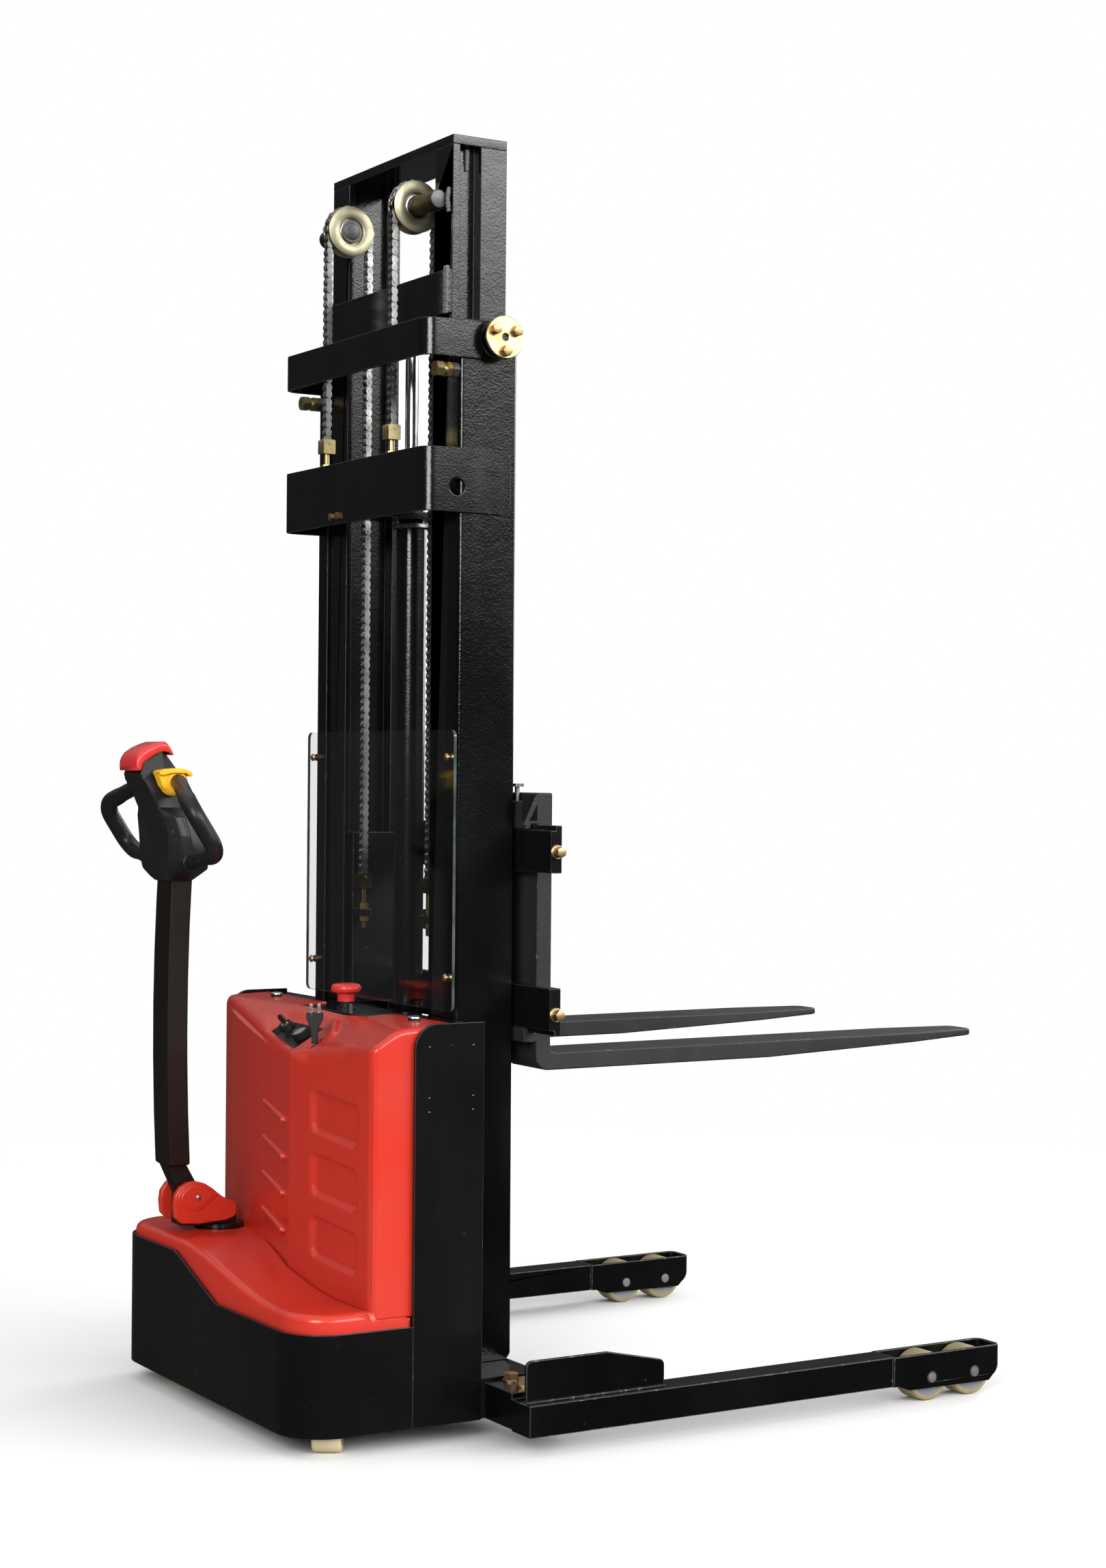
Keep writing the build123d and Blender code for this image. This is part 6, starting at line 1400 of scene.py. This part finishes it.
# %% Ear covers
PIVOT_X, PIVOT_Y = -305.0, 205.0
EAR = [(-41.5, 311), (-39.5, 327), (-30, 340), (-18, 346.5), (-3, 348), (15, 342.5), (28, 334), (38, 325.5),
       (47, 318.5), (59, 313.5), (68, 309.5), (72, 304), (71.8, 288.5), (67, 283), (53, 279), (3, 276),
       (-28, 279), (-39.5, 290)]
HOOK = [(38, 322), (24, 312.5), (11.5, 302), (1, 297.5), (-9.5, 298), (-20, 304), (-30, 313), (-36.5, 318),
        (-35, 327), (-27.5, 337), (-17, 343), (-3.5, 344.5), (13.5, 339), (26, 331)]
INNER_HOOK = [(-1.5 + 0.84 * (x + 1.5), 324.5 + 0.84 * (z - 324.5)) for x, z in HOOK]
EAR_SCREW = [(0, 41.2), (2.4, 41.0), (4.4, 39.9), (4.8, 38.6), (4.8, 36)]
form, screws = bmesh.new(), bmesh.new()
for side in BOTH:
    for outline, reach, depth in ((EAR, 29.4, 13.2), (HOOK, 34.9, 6.0), (INNER_HOOK, 35.9, 6.0)):
        plate(form, outline, at(PIVOT_X, PIVOT_Y + side * reach, 0), FACING_Y, depth)
    turn(screws, EAR_SCREW, at(PIVOT_X, PIVOT_Y, 321), side * Y, 20)
ears = piece("ear_cover_shells", form, [red_shell], "steering", "red_shell", "tiller_ear_covers", None)
bevelled(ears, 3.2, 4, 40.0)
piece("ear_cover_screws", screws, [bright_steel], "steering", "bright_steel")

# %% [markdown]
# ## Switches and plug
# Small parts that the operator touches: the red mushroom, the gauge and the key in the well, and the charger's
# plug, which stands in its hole with its pins up. All of them are turned or cut from short profiles.

# %% Stop button
STOP = at(-125.0, -15.0, 0)
MUSHROOM = [(11.8, 656), (14.2, 656), (14.4, 668), (15.5, 670.2), (21, 670.8), (24.2, 673), (25, 677),
            (24.2, 681), (21, 684), (15, 685.2), (0, 685.4), (0, 668), (11.8, 668)]
form = bmesh.new()
turn(form, MUSHROOM, STOP, Z, 48, closed=True)
piece("stop_mushroom", form, [red_cap], "stop_button", "red_shell", "stop_button", 50.0)

# %% Gauge, collars and key
FACET = Vector((-0.526, -0.046, 0.849)).normalized()
GAUGE, KEY = at(-203.0, -5.0, 607.0), at(-199.5, 57.0, 613.0)
CLIP = [(-3, 642), (3, 642), (3, 652), (2, 653), (-2, 653), (-3, 652)]
BOW = [(-2.6, 3), (2.6, 3), (2.6, 6), (9, 8), (10, 14), (7, 20), (0, 22), (-7, 20), (-10, 14), (-9, 8),
       (-2.6, 6)]
form = bmesh.new()
turn(form, [(0, 642), (16, 642), (16, 645), (11.2, 646), (11.2, 657.5), (0, 657.5)], STOP, Z, 32)
turn(form, [(12.0, 2.6), (12.6, 4.6), (14, 5.0), (15, 4.0), (15, -7), (0, -7)], GAUGE, FACET)
turn(form, [(8.4, 2.0), (8.8, 4.4), (10, 4.8), (11, 3.6), (11, -7), (0, -7)], KEY, FACET, 32)
turn(form, [(0, 3.4), (8, 3.1), (12.1, 2.5)], GAUGE, FACET, finish=1)
for shift in (-17.2, 17.2):
    plate(form, CLIP, STOP + MM * shift * Y, FACING_Y, 2.4, 2)
piece("switch_collars", form, [black_plastic, gauge_glass, bright_steel], "chassis", "black_plastic",
      "switch_housings")
form = bmesh.new()
turn(form, [(0, -5), (7.2, -5), (7.2, 3.0), (6.4, 3.8), (0, 3.8)], KEY, FACET, 28)
side, up = across(FACET)
plate(form, BOW, KEY, (side, FACET, up), 3.0, 1)
piece("key_and_barrel", form, [bright_steel, black_plastic], "key_switch", "black_plastic", "key_switch")

# %% Plug and knobs
PLUG_FOOT = at(*PLUG, 0)
PLUG_HALF = [(11.5, 648), (13, 646), (13, 638), (9, 629), (5.4, 622), (5.4, 618), (4.6, 618), (4.6, 615),
             (5.2, 615), (5.2, 611), (4.4, 611), (4.4, 598)]
PLUG_BODY = PLUG_HALF + [(-u, v) for u, v in reversed(PLUG_HALF)]
PLUG_PIN = [(-3.1, 646), (3.1, 646), (3.1, 659.5), (1.6, 661.6), (-1.6, 661.6), (-3.1, 659.5)]
TWISTED = (Vector((0.8, -0.6, 0)), Z, Vector((0.6, 0.8, 0)))
form = bmesh.new()
plate(form, PLUG_BODY, PLUG_FOOT, TWISTED, 10.0)
for shift in (-6.4, 6.4):
    plate(form, PLUG_PIN, PLUG_FOOT + MM * shift * TWISTED[0], TWISTED, 1.6, 1)
plug = piece("plug_body", form, [black_plastic, bright_steel], "chassis", "black_plastic", "charger_plug", None)
bevelled(plug, 0.7, 2, 40.0)
form = bmesh.new()
for side in BOTH:
    knob = at(-125.0, side * 250.0, 644.2)
    turn(form, [(0, 7.0), (6.5, 7.0), (8.5, 6.6), (10.4, 5.4), (10.8, 3.6)], knob, Z, 36)
    turn(form, [(10.8, 3.6), (9.6, 2.8), (9.6, -0.5), (0, -0.5)], knob, Z, 36, 1)
piece("cover_knob_heads", form, [bright_steel, black_plastic], "chassis", "bright_steel", "cover_knobs")

# %% [markdown]
# ## Clear shield
# The sheet is so clear that only its edges show: light that enters it leaves there, dark green against white.

# %% Clear shield
SHIELD_HALF, SHIELD_LOW, SHIELD_TOP = 261.0, 655.0, 1100.0
SHIELD_X, SHIELD_ROUND, SHIELD_THICK = -61.2, 11.0, 5.0
upper, lower = ((SHIELD_HALF, -SHIELD_HALF), SHIELD_TOP), ((-SHIELD_HALF, SHIELD_HALF), SHIELD_LOW)
corners = [Vector((y, z, 0)) for ends, z in (upper, lower) for y in ends]
outline = []
for k in range(4):
    outline += [spot[:2] for spot in arc(corners[k - 1], corners[k], corners[(k + 1) % 4], SHIELD_ROUND, 6)]
form = bmesh.new()
plate(form, outline, at(SHIELD_X, 0, 0), FACING_X, SHIELD_THICK)
for face in form.faces:
    face.material_index = 0 if len(face.verts) > 4 else 1
piece("shield_sheet", form, [clear_sheet, sheet_edge], "chassis", "clear_sheet", "shield", 30.0)

# %% [markdown]
# ## Seams
# The head's two halves meet in a seam with a screw on each side, and a thin bead of gel coat closes the right
# rear corner of the cover. Both are thin tubes along a wire.

# %% Seams
SEAM = [(-12, 70, 868), (-12, 76.6, 882), (-12, 78.8, 905), (-12, 78.8, 925), (-15, 75, 942), (-20, 71.2, 957)]
form = bmesh.new()
for side in BOTH:
    tube(form, bent([(x, side * y, z) for x, y, z in SEAM], 4.0, 4.0), lambda share: 0.8, on_tiller, 8)
    turn(form, [(0, 0.3), (2.4, 0.3), (2.8, 0.6), (3.2, 0), (3.2, -1)], on_tiller(-10, side * 78.4, 893),
         side * Y, 16)
piece("tiller_head_seams", form, [black_plastic], "tiller", "black_plastic", sharp=50.0)
form = bmesh.new()
tube(form, bent([(-241.8, -342.6, 214), (-241.8, -342.6, 598)], 0.0, 20.0),
     lambda share: 1.9 * min(1.0, 12 * share, 12 * (1 - share)) + 0.1, at, 12)
piece("cover_corner_bead", form, [red_shell], "chassis", "red_shell", sharp=60.0)

# %% [markdown]
# ## Wheels and rollers
# A wheel takes its place and its size from the CAD part that it stands for: the spread of the part's corners
# along the axle gives its middle and its width. The tread is cast round a dished core, with soft shoulders.


# %% Wheels
def wheel(node, axis, bore, core, tread_finish):
    """A tyred wheel as large as the CAD one."""
    ways = (axis, *across(axis))
    spans = []
    for way in ways:
        reaches = [vert.co.dot(way) for vert in frame["nodes"][node].data.vertices]
        spans.append((min(reaches), max(reaches)))
    centre = sum(((low + high) / 2 * way for (low, high), way in zip(spans, ways)), Vector())
    half, radius = ((high - low) / 2 / MM for low, high in spans[:2])
    tread = [(core, half - 0.4), (radius - 3.0, half - 0.4), (radius - 1.0, half - 1.8), (radius, half - 5.0)]
    hub = [(bore, half - 1.5), (bore + 4.5, half), (bore + 6.0, half - 2.4), (core - 3.0, half - 2.4),
           (core, half - 0.9)]
    form = bmesh.new()
    for finish, profile in enumerate((tread, hub)):
        turn(form, mirrored(profile), centre, axis, 56, finish, closed=True)
    piece(node + "_tyred", form, [tread_finish, wheel_core], node, "cream_tread", node)


for end in ("front", "rear"):
    for name in SIDES:
        wheel(f"load_roller_{end}_{name}", Y, 9.4, 32.0, roller_tread)
HEADING = math.radians(58.7)
wheel("caster_wheel", Vector((-math.sin(HEADING), math.cos(HEADING), 0)), 5.4, 22.0, cream_tread)
wheel("drive_wheel", Y, 13.0, 70.0, cream_tread)

# %% [markdown]
# ## Small steel parts
# The legs end in deeper cheeks that hold the rollers' axles. Rivets, the rim of the hole in the band, the
# gland's ring and the ribs in the fork hooks are small, but they break up the large black faces.

# %% Leg heads
LEG_CHEEK = [(644, 34), (672, 24), (838, 22.5), (842, 23), (855, 36), (855, 78), (644, 78)]
LEG_CAP = [(439.5, 33), (491.5, 33), (491.5, 79), (439.5, 79)]
form, discs = bmesh.new(), bmesh.new()
for side in BOTH:
    for y in (438.0, 493.0):
        plate(form, LEG_CHEEK, at(0, side * y, 0), FACING_Y, 7.16)
    plate(form, [(side * y, z) for y, z in LEG_CAP], at(-51.4, 0, 0), FACING_X, 2.0)
    for x in (719.4, 810.3):
        for y, way in ((495.0, side * Y), (436.0, -side * Y)):
            turn(discs, [(8.8, 0), (8.8, 1.7), (7.8, 2.7), (0, 2.9)], at(x, side * y, 40), way, 32)
piece("leg_cheeks", form, [rail_shade_paint], "chassis", "black_paint", sharp=30.0)
piece("load_axle_ends", discs, [cut_steel], "chassis", "bright_steel")

# %% Rivets, gland and hook ribs
RIVETS = [(x, z) for x in (-153.6, -77.0) for z in (612.0, 534.0, 512.5)]
HOLE_RIM = [(14.0, -2.0), (14.2, 0.3), (15.0, 0.5), (15.4, -0.4)]
GLAND = [(29.2, 0.6), (31.6, 0), (32.4, 0.8), (32.4, 6.2), (31.6, 7.0), (29.2, 6.4)]
POCKET = [(52.5, 957), (80.0, 957), (80.0, 998.5), (56, 998.5), (52.5, 992)]
HOOK_RIB = [(53, 950), (60, 949), (86, 997), (77, 999)]
FORK_Y, FORK_HALF = 228.0, 50.0
form = bmesh.new()
for side in BOTH:
    for x, z in RIVETS:
        turn(form, [(2.6, -0.5), (2.4, 0.5), (1.4, 0.9), (0, 1.0)], at(x, side * 355.0, z), side * Y, 12)
    turn(form, HOLE_RIM, at(-60.8, side * 259.0, 1483.0), side * Y)
piece("plate_rivets", form, [black_paint], "chassis", "black_paint")
form = bmesh.new()
turn(form, GLAND, at(-3.0, 0, 1439.0), Z, 56, closed=True)
piece("gland_ring", form, [bright_steel], "chassis", "bright_steel")
for name, side in SIDES.items():
    form = bmesh.new()
    for edge in (-FORK_HALF, FORK_HALF):
        middle = at(0, side * FORK_Y + edge, 0)
        plate(form, POCKET, middle, FACING_Y, 1.0)
        plate(form, HOOK_RIB, middle, FACING_Y, 5.0, 1)
    piece(f"fork_{name}_ribs", form, [black_paint, edge_wear_and_highlight], f"fork_{name}", "fork_paint", sharp=30.0)

# %% [markdown]
# ## Welds
# The mast, the legs and the guards are welded. A bead is a row of overlapping drops along a line, and the tree
# sets their pitch, with a little chance in their width.


# %% Welds
def bead(name, body, lines, pitch, width, finish):
    """Weld beads along lines of corners, on both sides of the machine."""
    points, edges = strung([[(x, side * y, z) for x, y, z in line] for side in BOTH for line in lines])
    mesh = beads.grow(name, points, edges, Pitch=pitch * MM, Width=width * MM, Seed=len(points), Finish=finish)
    dress(name, mesh, [finish], body, "black_paint", sharp=None)


bead("cross_plate_welds", "inner_mast", [[(-54.5, y, 1766), (-54.5, y, 1838)] for y in (203, 209)], 2.6, 8.0,
     weld_steel)
bead("axle_seat_welds", "inner_mast", [[(-49, 203, 1929), (-52, 204, 1946), (-49, 203, 1964)]], 2.6, 8.5,
     weld_steel)
bead("groove_welds", "inner_mast", [[(-11, 192, 2000), (-11, 193, 2031)]], 2.4, 9.0, weld_steel)
bead("guard_welds", "chassis", [[(-48, 479.2, 82), (198, 479.2, 82)]], 2.2, 4.0, leg_wear_and_highlight)
bead("leg_head_welds", "chassis", [[(641, 440, 79.6), (641, 492, 79.6), (641, 492.2, 33)]], 2.2, 3.0,
     rail_shade_paint)

# %% [markdown]
# ## Parts kept as they are
# Parts deep inside, and those whose CAD shape is already right, only get a finish.

# %% Kept parts
KEPT = {
    black_paint: ("pump_unit", "drive_unit"),
    battery_case: ("batteries",),
    chrome_rod: ("lift_rod",),
    bright_steel: ("mast_rollers_top", "mast_rollers_foot", "carriage_rollers_upper", "carriage_rollers_lower",
                   "fork_pin_left", "fork_pin_right"),
}
for finish, nodes in KEPT.items():
    for node in nodes:
        for place in frame["nodes"][node].material_slots:
            place.material = finish
    print(finish.name, "on", nodes)
